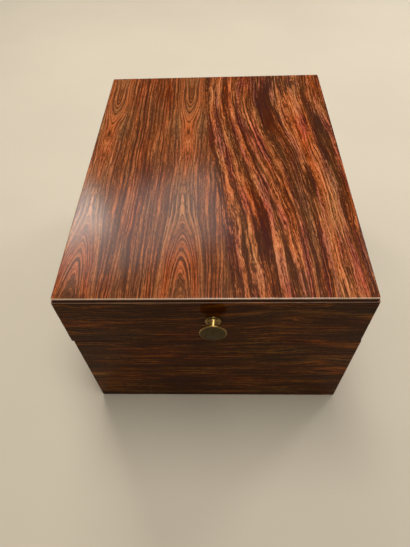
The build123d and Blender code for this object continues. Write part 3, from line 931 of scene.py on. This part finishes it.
class Bench:
    """The workbench: keeps edit mode, selection and finished pieces in order."""

    @staticmethod
    def clear() -> None:
        """Deselects everything, because an operator acts on all that is selected."""
        if bpy.context.object and bpy.context.object.mode != "OBJECT":
            bpy.ops.object.mode_set(mode="OBJECT")
        for thing in bpy.context.selected_objects:
            thing.select_set(False)

    @staticmethod
    def hold(*pieces: Object) -> None:
        """Selects pieces alone and makes the first one active.

        Args:
            pieces: the pieces.
        """
        Bench.clear()
        for piece in pieces:
            piece.select_set(True)
        bpy.context.view_layer.objects.active = pieces[0]

    @staticmethod
    def named(name: str) -> Object:
        """Names the piece that an operator has just made.

        Args:
            name: the name, for its mesh too.

        Returns:
            The piece.
        """
        piece = bpy.context.object
        piece.name = piece.data.name = name
        return piece

    @staticmethod
    def corners(node: str) -> tuple[Vector, Vector]:
        """Finds a CAD node's lowest and highest corner."""
        low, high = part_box(node)
        return Vector(low), Vector(high)

    @staticmethod
    def box(name: str, low: Vector, high: Vector) -> Object:
        """Adds a box between two corners.

        Args:
            name: the piece's name.
            low: its lowest corner.
            high: its highest corner.

        Returns:
            The box, with its place in its mesh.
        """
        Bench.clear()
        bpy.ops.mesh.primitive_cube_add(size=1, location=(low + high) / 2, scale=high - low)
        piece = Bench.named(name)
        Bench.settle(piece)
        return piece

    @staticmethod
    def settle(piece: Object) -> None:
        """Puts a piece's place, turn and scale in its mesh."""
        Bench.hold(piece)
        bpy.ops.object.transform_apply(location=True, rotation=True, scale=True)

    @staticmethod
    def edit(piece: Object, mode: str = "FACE") -> None:
        """Opens a piece in edit mode with nothing selected.

        Args:
            piece: the piece.
            mode: what is selected next, vertices, edges or faces.
        """
        Bench.hold(piece)
        bpy.ops.object.mode_set(mode="EDIT")
        bpy.ops.mesh.select_mode(type=mode)
        bpy.ops.mesh.select_all(action="DESELECT")

    @staticmethod
    def pick_edges(piece: Object, wanted: Test) -> None:
        """Selects the edges of the open piece that a test wants, and deselects the rest.

        Args:
            piece: the piece in edit mode.
            wanted: tells from an edge's two ends whether to select it.
        """
        bpy.ops.mesh.select_all(action="DESELECT")
        mesh = bmesh.from_edit_mesh(piece.data)
        for edge in mesh.edges:
            if wanted(edge.verts[0].co, edge.verts[1].co):
                edge.select_set(True)
        mesh.select_flush_mode()
        bmesh.update_edit_mesh(piece.data)

    @staticmethod
    def close(piece: Object, angle: float = 35.0) -> None:
        """Merges doubles, points faces outwards, leaves edit mode and shades the piece.

        Args:
            piece: the piece, in either mode.
            angle: edges sharper than this, in degrees, stay sharp.
        """
        if piece.mode != "EDIT":
            Bench.edit(piece)
        bpy.ops.mesh.select_all(action="SELECT")
        bpy.ops.mesh.remove_doubles(threshold=TOUCH)
        bpy.ops.mesh.normals_make_consistent(inside=False)
        bpy.ops.object.mode_set(mode="OBJECT")
        bpy.ops.object.shade_smooth_by_angle(angle=math.radians(angle))

    @staticmethod
    def apply(piece: Object, kind: str, **settings: Any) -> None:
        """Adds one modifier and applies it.

        Args:
            piece: the piece.
            kind: the modifier's type.
            settings: its properties.
        """
        Bench.hold(piece)
        modifier = piece.modifiers.new(kind.title(), kind)
        for key, value in settings.items():
            setattr(modifier, key, value)
        bpy.ops.object.modifier_apply(modifier=modifier.name)

    @staticmethod
    def ease(piece: Object, width_mm: float, segments: int, angle: float, flat: float) -> None:
        """Rounds a closed piece's edges.

        Args:
            piece: the piece.
            width_mm: the rounding's width.
            segments: how many runs the rounding has.
            angle: edges sharper than this, in degrees, are rounded.
            flat: edges sharper than this, in degrees, stay sharp.
        """
        Bench.apply(
            piece,
            "BEVEL",
            width=width_mm * MM,
            segments=segments,
            limit_method="ANGLE",
            angle_limit=math.radians(angle),
        )
        Bench.close(piece, flat)

    @staticmethod
    def flatten(piece: Object) -> None:
        """Lets the large faces decide the shading, so that a rounding doesn't bend it."""
        Bench.apply(piece, "WEIGHTED_NORMAL", keep_sharp=True)

    @staticmethod
    def copy_of(node: Object, name: str) -> Object:
        """Copies a CAD node as a mesh with its loose triangles merged.

        Args:
            node: the CAD node, which is left alone.
            name: the copy's name.

        Returns:
            The copy.
        """
        piece = bpy.data.objects.new(name, node.data.copy())
        bpy.context.scene.collection.objects.link(piece)
        Bench.edit(piece)
        bpy.ops.mesh.select_all(action="SELECT")
        bpy.ops.mesh.remove_doubles(threshold=TOUCH)
        bpy.ops.mesh.dissolve_limited(angle_limit=math.radians(0.5))
        bpy.ops.object.mode_set(mode="OBJECT")
        bpy.ops.mesh.customdata_custom_splitnormals_clear()
        return piece

    @staticmethod
    def join(name: str, pieces: Sequence[Object]) -> Object:
        """Joins pieces into one.

        Args:
            name: the joined piece's name.
            pieces: the pieces.

        Returns:
            The joined piece.
        """
        Bench.hold(*pieces)
        bpy.ops.object.join()
        return Bench.named(name)

    @staticmethod
    def fit(piece: Object, body: str, slot: str, finish: Material, *nodes: str) -> None:
        """Finishes a piece and hands it over to the frame.

        Args:
            piece: the piece, in place.
            body: the CAD body that it rides on.
            slot: the record's material slot it stands for; not used.
            finish: its material.
            nodes: the CAD nodes it replaces.
        """
        Bench.paint(piece, finish)
        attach(piece, body)
        if nodes:
            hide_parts(*nodes)

    @staticmethod
    def paint(piece: Object, finish: Material) -> None:
        """Gives a piece its finish, and takes any other off."""
        piece.data.materials.clear()
        piece.data.materials.append(finish)


@dataclass
class Lathe:
    """Turned work: a half profile spun about an axis."""

    name: str
    profile_mm: Sequence[tuple[float, float]]  # radius and distance along the axis
    steps: int = 96

    def build(self, base: Vector, axis: Vector) -> Object:
        """Turns the profile and stands it on a point.

        Args:
            base: where the profile's distance 0 is, in metres.
            axis: the direction in which distances grow.

        Returns:
            The turned piece.
        """
        Bench.clear()
        bpy.ops.mesh.primitive_plane_add(size=1)
        piece = Bench.named(self.name)
        mesh = bmesh.new()
        points = [mesh.verts.new((r * MM, 0.0, h * MM)) for r, h in self.profile_mm]
        for pair in zip(points, points[1:]):
            mesh.edges.new(pair)
        mesh.to_mesh(piece.data)
        mesh.free()
        Bench.edit(piece, "EDGE")
        bpy.ops.mesh.select_all(action="SELECT")
        bpy.ops.mesh.spin(steps=self.steps, angle=math.tau, center=(0, 0, 0), axis=(0, 0, 1))
        Bench.close(piece, 30.0)
        turn = Vector((0, 0, 1)).rotation_difference(axis).to_matrix().to_4x4()
        piece.data.transform(Matrix.Translation(base) @ turn)
        return piece

    @staticmethod
    def arc(
        start: tuple[float, float], via: tuple[float, float], end: tuple[float, float], count: int
    ) -> list[tuple[float, float]]:
        """Samples the circle through three points, for a profile's curves.

        Args:
            start: where the arc starts.
            via: a point on it.
            end: where it ends.
            count: how many runs it is cut into.

        Returns:
            The points, both ends among them.
        """
        (ax, ay), (bx, by), (cx, cy) = start, via, end
        d = 2 * (ax * (by - cy) + bx * (cy - ay) + cx * (ay - by))
        a2, b2, c2 = ax * ax + ay * ay, bx * bx + by * by, cx * cx + cy * cy
        ox = (a2 * (by - cy) + b2 * (cy - ay) + c2 * (ay - by)) / d
        oy = (a2 * (cx - bx) + b2 * (ax - cx) + c2 * (bx - ax)) / d
        radius = math.hypot(ax - ox, ay - oy)
        first, middle, last = (math.atan2(y - oy, x - ox) for x, y in (start, via, end))
        sweep = (last - first) % math.tau
        if (middle - first) % math.tau > sweep:
            sweep -= math.tau
        angles = [first + sweep * k / count for k in range(count + 1)]
        return [(ox + radius * math.cos(t), oy + radius * math.sin(t)) for t in angles]


@dataclass
class StuffedPad:
    """A velvet pad or roll: cut as a block, then blown up a little by a cloth simulation."""

    name: str
    low: Vector
    high: Vector
    swell_mm: float  # how far any point may move
    cell_mm: float  # the grid its skin is cut into, so that it can bend
    round_mm: float
    corner_mm: float = 0.0  # of its upright edges
    dome: float = 0.0  # share of its width that its top is rounded by
    rise: float = 1.0  # how many times taller than wide that rounding is
    pressure: float = 4.0
    frames: int = 20

    def build(self) -> Object:
        """Cuts the block, rounds it and stuffs it.

        Returns:
            The pad, still without a body.
        """
        piece = Bench.box(self.name, self.low, self.high)
        Bench.edit(piece, "EDGE")
        if self.dome:
            self._arch(piece)
        else:
            height = self.high.z - self.low.z
            Bench.pick_edges(piece, lambda a, b: abs(a.z - b.z) > 0.5 * height)
            bpy.ops.mesh.bevel(offset=self.corner_mm * MM, segments=4, affect="EDGES")
            Bench.pick_edges(piece, lambda a, b: min(a.z, b.z) > self.high.z - TOUCH)
        bpy.ops.mesh.bevel(offset=self.round_mm * MM, segments=3, affect="EDGES")
        Bench.close(piece, 60.0)
        self._cut_cells(piece)
        self._stuff(piece)
        Bench.apply(piece, "SUBSURF", levels=1, render_levels=1)
        bpy.ops.object.shade_smooth()
        return piece

    def _arch(self, piece: Object) -> None:
        """Arches the open block's top across Y and selects the outlines of its two ends.

        Args:
            piece: the block in edit mode.
        """
        width = self.high.y - self.low.y
        top = self.high.z - TOUCH
        Bench.pick_edges(piece, lambda a, b: min(a.z, b.z) > top and abs(a.y - b.y) < TOUCH)
        bpy.ops.mesh.bevel(offset=self.dome * width, segments=8, affect="EDGES")
        mesh = bmesh.from_edit_mesh(piece.data)
        for vertex in mesh.verts:
            if vertex.co.z > self.low.z + TOUCH:
                vertex.co.z = self.high.z - self.rise * (self.high.z - vertex.co.z)
        bmesh.update_edit_mesh(piece.data)
        Bench.pick_edges(
            piece, lambda a, b: abs(a.x - b.x) < TOUCH and max(a.z, b.z) > top - width
        )

    def _cut_cells(self, piece: Object) -> None:
        """Cuts the pad's skin along a grid.

        Args:
            piece: the pad.
        """
        Bench.edit(piece)
        for axis in (0, 1, 2):
            size = self.high[axis] - self.low[axis]
            count = int(size / (self.cell_mm * MM))
            for k in range(1, count):
                point = (self.low + self.high) / 2
                point[axis] = self.low[axis] + size * k / count
                normal = Vector((0.0, 0.0, 0.0))
                normal[axis] = 1.0
                bpy.ops.mesh.select_all(action="SELECT")
                bpy.ops.mesh.bisect(plane_co=point, plane_no=normal)
        Bench.close(piece, 60.0)

    def _stuff(self, piece: Object) -> None:
        """Blows the skin up, limits how far it moved, and keeps its sides and floor in place.

        Args:
            piece: the pad, with its skin cut.
        """
        rest = [vertex.co.copy() for vertex in piece.data.vertices]
        scene = bpy.context.scene
        cloth = piece.modifiers.new("Stuffing", "CLOTH")
        cloth.settings.use_pressure = True
        cloth.settings.uniform_pressure_force = self.pressure
        cloth.settings.effector_weights.gravity = 0.0
        cloth.settings.quality = 6
        cloth.point_cache.frame_start = 1
        cloth.point_cache.frame_end = self.frames
        for frame in range(1, self.frames + 1):
            scene.frame_set(frame)
        Bench.hold(piece)
        bpy.ops.object.modifier_apply(modifier=cloth.name)
        scene.frame_set(1)
        near = 10 * TOUCH
        for vertex, was in zip(piece.data.vertices, rest):
            move = vertex.co - was
            if move.length > self.swell_mm * MM:
                move *= self.swell_mm * MM / move.length
            place = was + move
            for axis in (0, 1):
                place[axis] = min(max(place[axis], self.low[axis]), self.high[axis])
                if min(was[axis] - self.low[axis], self.high[axis] - was[axis]) < near:
                    place[axis] = was[axis]
            place.z = was.z if was.z < self.low.z + near else max(place.z, self.low.z)
            vertex.co = place


# ---------------------------------------------------------------- sub-assemblies


@dataclass
class Assembly:
    """What every sub-assembly shares: the CAD nodes, and two steps of work on them."""

    nodes: dict[str, Object]

    def build(self) -> None:
        """Models the pieces that are new or refined."""

    def dress(self) -> None:
        """Finishes the CAD nodes that stay as they are."""

    def paint(self, finish: Material, *names: str) -> None:
        """Gives CAD nodes a finish."""
        for name in names:
            Bench.paint(self.nodes[name], finish)

    def mahogany(self, pattern: str, grain: Grain, *words: str) -> None:
        """Finishes the CAD nodes of one pattern of name in mahogany, its grain one way."""
        self.paint(OiledMahogany().made(grain), *(pattern.format(word) for word in words))


@dataclass
class Carcass(Assembly):
    """The base and the lid: veneered boards, the lid's panel, the base's bottom and its baize."""

    veneer: RosewoodVeneer = field(default_factory=RosewoodVeneer)
    board_top_mm: float = 171.0
    baize_corner_mm: float = 2.0

    def dress(self) -> None:
        """Gives each board its veneer, laid the right way."""
        for part in ("base", "lid"):
            ends, sides = ([f"{part}_{s}_board" for s in pair] for pair in (ENDS, SIDES))
            self.paint(self.veneer.made(Figure.WIDTHWAYS), *ends)
            self.paint(self.veneer.made(Figure.LENGTHWAYS), *sides)
        self.paint(BirchPlywood().made(), "base_bottom_panel")

    def build(self) -> None:
        """Veneers the top panel, edge and arris, and lays the baize under the base."""
        self._panel()
        self._baize()

    def _panel(self) -> None:
        """Lays the lid's figure, painted shade on its band, a painted highlight on the rubbed
        arris.
        """
        panel = Bench.copy_of(self.nodes["lid_top_panel"], "top_panel")
        Bench.close(panel, 30.0)
        Bench.flatten(panel)
        Bench.fit(panel, "lid", "rosewood_veneer", self.veneer.made(Figure.LEAVES), "lid_top_panel")
        panel.data.materials.append(self.veneer.made(Figure.BAND))
        panel.data.materials.append(self.veneer.made(Figure.LEAVES, Wear.RUBBED))
        for face in panel.data.polygons:
            if face.center.z > self.board_top_mm * MM + 10 * TOUCH:
                # The front arris faces take the painted highlight and the full gloss coat.
                rubbed = face.normal.y < -0.12 and face.normal.z > 0.3
                # Upright faces take the band, painted dark as shade.
                face.material_index = 2 if rubbed else int(abs(face.normal.z) < 0.2)

    def _baize(self) -> None:
        """Lays the baize under the base, its upright corners rounded."""
        low, high = Bench.corners("base_baize")
        baize = Bench.box("baize", low, high)
        Bench.edit(baize, "EDGE")
        Bench.pick_edges(baize, lambda a, b: abs(a.z - b.z) > 0.5 * MM)
        bpy.ops.mesh.bevel(offset=self.baize_corner_mm * MM, segments=6, affect="EDGES")
        Bench.close(baize)
        Bench.fit(baize, "base", "baize", WoollenBaize().made(), "base_baize")


@dataclass
class PullKnob(Assembly):
    """The knob on the lid's front: collar, tapering neck, thin disc. With its screw inside."""

    collar_mm: tuple[float, float] = (6.3, 1.3)  # radius and thickness
    neck_mm: tuple[float, float, float] = (4.7, 3.1, 2.5)  # radii at root, waist and tip
    neck_length_mm: float = 8.3
    disc_mm: tuple[float, float] = (10.6, 1.5)
    cone_mm: float = 0.5
    dome_mm: float = 0.35
    lip_mm: float = 0.75  # the disc's face is turned down a hair inside this rim
    step_mm: tuple[float, float] = (0.25, 0.12)  # how wide and how deep that step is

    def build(self) -> None:
        """Turns the knob and darkens its sunk face."""
        collar, thick = self.collar_mm
        root, waist, tip = self.neck_mm
        disc, edge = self.disc_mm
        step, depth = self.step_mm
        neck_end = thick + self.neck_length_mm
        back = neck_end + self.cone_mm
        front = back + edge
        rim = edge / 2
        bead = collar - thick / 2
        inner = disc - self.lip_mm - step
        profile = [(0.0, 0.0)]
        profile += Lathe.arc((bead, 0.0), (collar, thick / 2), (bead, thick), 8)
        profile += Lathe.arc((root, thick), (waist, (thick + neck_end) / 2), (tip, neck_end), 14)
        profile += Lathe.arc((disc - rim, back), (disc, back + rim), (disc - rim, front), 10)
        profile += [(disc - self.lip_mm, front), (inner, front - depth)]
        for k in range(1, 9):
            left = 1 - k / 8
            profile.append((inner * left, front - depth + self.dome_mm * (1 - left**2)))
        low, high = Bench.corners("knob")
        base = Vector(((low.x + high.x) / 2, high.y, (low.z + high.z) / 2))
        knob = Lathe("pull_knob", profile).build(base, Vector((0, -1, 0)))
        Bench.fit(knob, "lid", "brass", PolishedBrass().made(), "knob")
        knob.data.materials.append(DarkenedBrass().made())
        for face in knob.data.polygons:
            x, y, z = (face.center - base) / MM
            inside = math.hypot(x, z) < disc - self.lip_mm + 0.05
            face.material_index = int(inside and y < 0.2 - front)

    def dress(self) -> None:
        """Finishes the knob's screw and washer."""
        self.paint(TurnedSteel().made(), "knob_screw", "knob_washer")


@dataclass
class Hinges(Assembly):
    """Two brass butt hinges with steel pins and countersunk screws."""

    edge_mm: float = 0.15  # how far their edges are worn round

    def build(self) -> None:
        """Wears the leaves' edges round."""
        for side in SIDES:
            for body in ("base", "lid"):
                name = f"hinge_{side}_{body}_leaf"
                leaf = Bench.copy_of(self.nodes[name], f"{side}_{body}_leaf")
                Bench.ease(leaf, self.edge_mm, 2, 50.0, 30.0)
                Bench.fit(leaf, body, "brass", PolishedBrass().made(), name)

    def dress(self) -> None:
        """Finishes the pins and screws."""
        self.paint(TurnedSteel().made(), "hinge_left_pin", "hinge_right_pin")
        self.paint(PolishedBrass().made(), "hinge_base_screws", "hinge_lid_screws")


@dataclass
class LidMirror(Assembly):
    """The mirror in the lid, its backing and its beads."""

    def dress(self) -> None:
        """Finishes the glass, the backing and the beads."""
        self.paint(SilveredGlass().made(), "mirror_glass")
        self.paint(BirchPlywood().made(), "mirror_backing")
        self.mahogany("mirror_bead_{}", Grain.LEFT_RIGHT, *ENDS)
        self.mahogany("mirror_bead_{}", Grain.FRONT_BACK, *SIDES)


@dataclass
class Well(Assembly):
    """The base's velvet lining, its tray bearers, its partition and its padded floors."""

    edge_mm: float = 0.9
    fold_mm: float = 0.75  # the velvet's fold stands this far over its board, up to the lid's rim
    partition_edge_mm: float = 0.8

    def build(self) -> None:
        """Wraps the lining boards in velvet, eases the partition and stuffs the floor pads."""
        velvet = CottonVelvet().made()
        for side in (*ENDS, *SIDES):
            lining = self._eased(f"lining_{side}", f"{side}_lining", self.edge_mm, self.fold_mm)
            Bench.fit(lining, "base", "velvet", velvet, f"lining_{side}")
        partition = self._eased("well_partition", "partition", self.partition_edge_mm)
        wood = OiledMahogany().made(Grain.LEFT_RIGHT)
        Bench.fit(partition, "base", "mahogany", wood, "well_partition")
        for end in ENDS:
            low, high = Bench.corners(f"well_pad_{end}")
            pad = StuffedPad(f"{end}_well_pad", low, high, 2.2, 8.0, 1.2, corner_mm=2.0).build()
            Bench.fit(pad, "base", "velvet", velvet, f"well_pad_{end}")

    def dress(self) -> None:
        """Finishes the tray's bearers."""
        self.mahogany("tray_bearer_{}", Grain.FRONT_BACK, *SIDES)

    def _eased(self, node: str, name: str, edge_mm: float, fold_mm: float = 0.0) -> Object:
        """Copies a CAD board with its edges rounded.

        Args:
            node: the CAD node.
            name: the new piece's name.
            edge_mm: the rounding.
            fold_mm: how far its top is raised.

        Returns:
            The rounded copy.
        """
        piece = Bench.copy_of(self.nodes[node], name)
        top = Bench.corners(node)[1].z
        for vertex in piece.data.vertices:
            if vertex.co.z > top - MM:
                vertex.co.z += fold_mm * MM
        Bench.ease(piece, edge_mm, 4, 40.0, 40.0)
        Bench.flatten(piece)
        return piece


@dataclass
class Tray(Assembly):
    """The lift-out tray: boards, dividers, floor pads, ring rolls and leather tabs."""

    pad_spread_mm: float = 0.25  # the pads are cut full, so that they meet the dividers
    fill: float = 0.7
    stitch_mm: float = 2.6  # from one stitch to the next
    stitch_inset_mm: float = 1.8
    stitch_half_mm: tuple[float, float, float] = (0.22, 0.28, 0.85)
    tab_edge_mm: float = 0.35

    def dress(self) -> None:
        """Finishes the boards and dividers, each with its grain along it."""
        for pattern in ("tray_{}_board", "tray_cross_divider_{}"):
            self.mahogany(pattern, Grain.LEFT_RIGHT, *ENDS)
        for pattern in ("tray_{}_board", "tray_divider_front_{}", "tray_divider_back_{}"):
            self.mahogany(pattern, Grain.FRONT_BACK, *SIDES)
        self.mahogany("jewel_lid_{}", Grain.FRONT_BACK, "ledges")
        self.paint(BirchPlywood().made(), "tray_floor")

    def build(self) -> None:
        """Stuffs the pads and the rolls and stitches the tabs."""
        self._pads()
        self._ring_rolls()
        self._tabs()

    def _islands(self, node: str) -> list[tuple[Vector, Vector]]:
        """Finds the boxes of a CAD node's separate solids.

        Args:
            node: the CAD node.

        Returns:
            The lowest and highest corner of each, from the front left to the back right.
        """
        Bench.edit(Bench.copy_of(self.nodes[node], "measured"))
        bpy.ops.mesh.select_all(action="SELECT")
        bpy.ops.mesh.separate(type="LOOSE")
        bpy.ops.object.mode_set(mode="OBJECT")
        found = []
        for part in list(bpy.context.selected_objects):
            axes = list(zip(*part.bound_box))
            found.append((Vector([min(a) for a in axes]), Vector([max(a) for a in axes])))
            bpy.data.objects.remove(part)
        return sorted(found, key=lambda box: (round(box[0].y, 4), box[0].x))

    def _cushion(self, name: str, pieces: Sequence[Object], node: str) -> None:
        """Joins stuffed pieces into the velvet one that stands for a CAD node.

        Args:
            name: the joined piece's name.
            pieces: the stuffed pieces.
            node: the CAD node they replace.
        """
        joined = Bench.join(name, pieces)
        Bench.fit(joined, "tray", "velvet", CottonVelvet().made(), node)

    def _pads(self) -> None:
        """Lays a thin velvet pad on each compartment's floor."""
        spread = Vector((self.pad_spread_mm, self.pad_spread_mm, 0)) * MM
        pads = [
            StuffedPad(f"tray_pad_{k}", low - spread, high + spread, 1.0, 7.0, 0.5, corner_mm=0.8)
            for k, (low, high) in enumerate(self._islands("tray_pads"))
        ]
        self._cushion("compartment_pads", [pad.build() for pad in pads], "tray_pads")

    def _ring_rolls(self) -> None:
        """Stuffs one roll and copies it along the row."""
        boxes = self._islands("ring_rolls")
        low, high = boxes[0]
        rolls = [StuffedPad("ring_roll", low, high, 0.35, 2.2, 0.8, dome=0.49, rise=1.5).build()]
        for start, _ in boxes[1:]:
            roll = bpy.data.objects.new("ring_roll", rolls[0].data.copy())
            bpy.context.scene.collection.objects.link(roll)
            roll.data.transform(Matrix.Translation(start - low))
            rolls.append(roll)
        self._cushion("stuffed_rolls", rolls, "ring_rolls")

    def _tabs(self) -> None:
        """Cuts the leather tabs and stitches down their long edges."""
        tabs: list[Object] = []
        stitches: list[Object] = []
        for k, (low, high) in enumerate(self._islands("tray_lift_tabs")):
            tab = Bench.box(f"tab_{k}", low, high)
            Bench.edit(tab, "EDGE")
            top = high.z - TOUCH
            Bench.pick_edges(tab, lambda a, b: min(a.z, b.z) > top and abs(a.y - b.y) < TOUCH)
            bpy.ops.mesh.bevel(offset=0.45 * (high.y - low.y), segments=12, affect="EDGES")
            Bench.close(tab, 40.0)
            Bench.ease(tab, self.tab_edge_mm, 2, 60.0, 40.0)
            Bench.flatten(tab)
            tabs.append(tab)
            stitches += self._stitches(low.x if low.x > 0 else high.x, low, high)
        leather = Bench.join("lift_tabs", tabs)
        Bench.fit(leather, "tray", "leather", BridleLeather().made(), "tray_lift_tabs")
        thread = Bench.join("tab_stitches", stitches)
        Bench.fit(thread, "tray", "leather", LinenThread().made())

    def _stitches(self, face: float, low: Vector, high: Vector) -> list[Object]:
        """Sews one tab: short stitches down both long edges.

        Args:
            face: X of the tab's show face.
            low: the tab's lowest corner.
            high: its highest corner.

        Returns:
            The stitches.
        """
        made = []
        inset = self.stitch_inset_mm * MM
        pitch = self.stitch_mm * MM
        straight = high.z - 0.5 * (high.y - low.y) - low.z
        for y in (low.y + inset, high.y - inset):
            for k in range(int((straight - 2 * inset) / pitch) + 1):
                Bench.clear()
                bpy.ops.mesh.primitive_uv_sphere_add(
                    segments=8,
                    ring_count=6,
                    radius=1,
                    location=(face, y, low.z + inset + k * pitch),
                    scale=Vector(self.stitch_half_mm) * MM,
                )
                stitch = Bench.named("stitch")
                Bench.settle(stitch)
                bpy.ops.object.shade_smooth()
                made.append(stitch)
        return made


@dataclass
class JewelLids(Assembly):
    """The two small lids in the tray, each with a turned brass knob."""

    edge_mm: float = 0.7
    pin_mm: tuple[float, float] = (1.15, 1.9)  # radius and depth in the lid
    collar_mm: float = 2.6
    neck_mm: float = 1.4
    button_mm: float = 4.0
    height_mm: float = 6.5

    def build(self) -> None:
        """Eases the lids' edges and turns their knobs."""
        pin, depth = self.pin_mm
        collar, button, top = self.collar_mm, self.button_mm, self.height_mm
        under = top - 2.5  # the button's underside
        profile = [(0.0, -depth), (pin, -depth), (pin, 0.0)]
        profile += Lathe.arc((collar, 0.0), (collar + 0.2, 0.4), (2.2, 0.9), 5)
        profile += Lathe.arc((1.9, 1.0), (self.neck_mm, 2.4), (1.7, under - 0.1), 8)
        profile += Lathe.arc((2.6, under), (button, under + 1.1), (button - 0.9, top - 0.45), 9)
        profile += [(2.0, top - 0.15), (1.0, top - 0.03), (0.0, top)]
        for side in SIDES:
            body = f"jewel_lid_{side}"
            lid = Bench.copy_of(self.nodes[body], f"{side}_small_lid")
            Bench.ease(lid, self.edge_mm, 3, 60.0, 40.0)
            Bench.flatten(lid)
            Bench.fit(lid, body, "mahogany", OiledMahogany().made(Grain.FRONT_BACK), body)
            low, high = Bench.corners(f"jewel_knob_{side}")
            seat = Vector(((low.x + high.x) / 2, (low.y + high.y) / 2, high.z - top * MM))
            knob = Lathe(f"{side}_small_knob", profile, 48).build(seat, Vector((0, 0, 1)))
            Bench.fit(knob, body, "brass", PolishedBrass().made(), f"jewel_knob_{side}")


# ---------------------------------------------------------------- the studio


@dataclass(frozen=True)
class Lamp:
    """A softbox: where it hangs, how wide and high it is, its power and its colour."""

    name: str
    place: tuple[float, float, float]
    size: tuple[float, float]
    power: float
    colour: str = "#FFFAF4"


@dataclass
class Studio:
    """The paper that the box stands on, the light and the camera."""

    eye: tuple[float, float, float] = (0.0042, -0.33366, 0.43044)
    yaw_deg: float = 3.373
    pitch_deg: float = 52.058
    roll_deg: float = 3.007
    focal_px: float = 428.36
    frame_px: tuple[int, int] = (410, 547)
    sensor_mm: float = 36.0
    paper_size: float = 12.0
    room_light: float = 0.28
    lamps: tuple[Lamp, ...] = (
        Lamp("overhead", (0.1, 0.05, 1.75), (1.5, 0.45), 25.0, "#FFFEFA"),
        Lamp("window", (-0.6, 0.93, 1.155), (0.24, 0.2), 3.1),
        Lamp("pale_wall", (-0.33, 0.9, 1.18), (0.72, 0.3), 5.0),
        Lamp("ceiling", (0.3, 0.75, 1.3), (0.8, 0.45), 0.7),
        Lamp("corner", (1.2, 0.95, 0.6), (0.4, 0.3), 9.0, "#FAFBFF"),
    )

    def build(self) -> None:
        """Lays the paper, hangs the lamps, lights the room and sets up the camera."""
        self._paper()
        self._lamps()
        self._room()
        self._camera()

    def _paper(self) -> None:
        """Lays a large sheet of backdrop paper under the box."""
        Bench.clear()
        bpy.ops.mesh.primitive_plane_add(size=self.paper_size)
        paper = Bench.named("backdrop_paper")
        Bench.paint(paper, BackdropPaper().made())

    def _lamps(self) -> None:
        """Hangs the softboxes: a broad one overhead, the rest behind the box, where they mirror."""
        for lamp in self.lamps:
            Bench.clear()
            bpy.ops.object.light_add(type="AREA", location=lamp.place)
            hung = bpy.context.object
            hung.name = lamp.name
            aim = Vector((0.0, 0.0, 0.1)) - Vector(lamp.place)
            hung.rotation_euler = aim.to_track_quat("-Z", "Y").to_euler()
            hung.data.shape = "RECTANGLE"
            hung.data.size, hung.data.size_y = lamp.size
            hung.data.energy = lamp.power
            hung.data.color = linear(lamp.colour)[:3]

    def _room(self) -> None:
        """Gives the room a dim light of its own and a pale look."""
        world = bpy.data.worlds.new("room")
        bpy.context.scene.world = world
        world.use_nodes = True
        tree = world.node_tree
        tree.nodes.clear()
        rays = add(tree, "LightPath")
        dim = add(tree, "Background", "#F2EEE8", self.room_light)
        pale = add(tree, "Background", BackdropPaper.far_tone, BackdropPaper.far_light)
        mixed = add(tree, "MixShader", rays.outputs["Is Camera Ray"], dim, pale)
        add(tree, "OutputWorld", mixed)

    def _camera(self) -> None:
        """Puts the camera in its place, in front of the box and above it."""
        Bench.clear()
        bpy.ops.object.camera_add()
        camera = bpy.context.object
        camera.name = "camera"
        turn = (
            Matrix.Rotation(math.radians(self.yaw_deg), 4, "Z")
            @ Matrix.Rotation(math.radians(-self.pitch_deg), 4, "X")
            @ Matrix.Rotation(math.radians(self.roll_deg), 4, "Y")
            @ Matrix.Rotation(math.radians(90), 4, "X")
        )
        camera.matrix_world = Matrix.Translation(self.eye) @ turn
        camera.data.sensor_width = self.sensor_mm
        camera.data.sensor_fit = "AUTO"
        camera.data.lens = self.focal_px / max(self.frame_px) * self.sensor_mm
        camera.data.clip_start = 0.01
        bpy.context.scene.camera = camera


def report(pieces: Iterable[Object]) -> None:
    """Logs each piece's name, faces and size in mm.

    Args:
        pieces: the pieces. What isn't a visible mesh is passed over.
    """
    for piece in pieces:
        if piece.type == "MESH" and not piece.hide_render:
            size = " x ".join(f"{d / MM:.1f}" for d in piece.dimensions)
            LOG.info("%s: %d faces, %s mm", piece.name, len(piece.data.polygons), size)


def main() -> None:
    """Loads the frame, builds and dresses each sub-assembly, and sets up the studio."""
    nodes: dict[str, Object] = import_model()["nodes"]
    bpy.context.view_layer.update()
    bpy.context.scene.view_settings.view_transform = "Standard"
    kinds = (Carcass, PullKnob, Hinges, LidMirror, Well, Tray, JewelLids)
    assemblies = [kind(nodes) for kind in kinds]
    for assembly in assemblies:
        assembly.build()
    for assembly in assemblies:
        assembly.dress()
    Studio().build()
    report(bpy.data.objects)


if __name__ == "__main__":
    logging.basicConfig(level=logging.INFO, format="%(message)s")
    main()
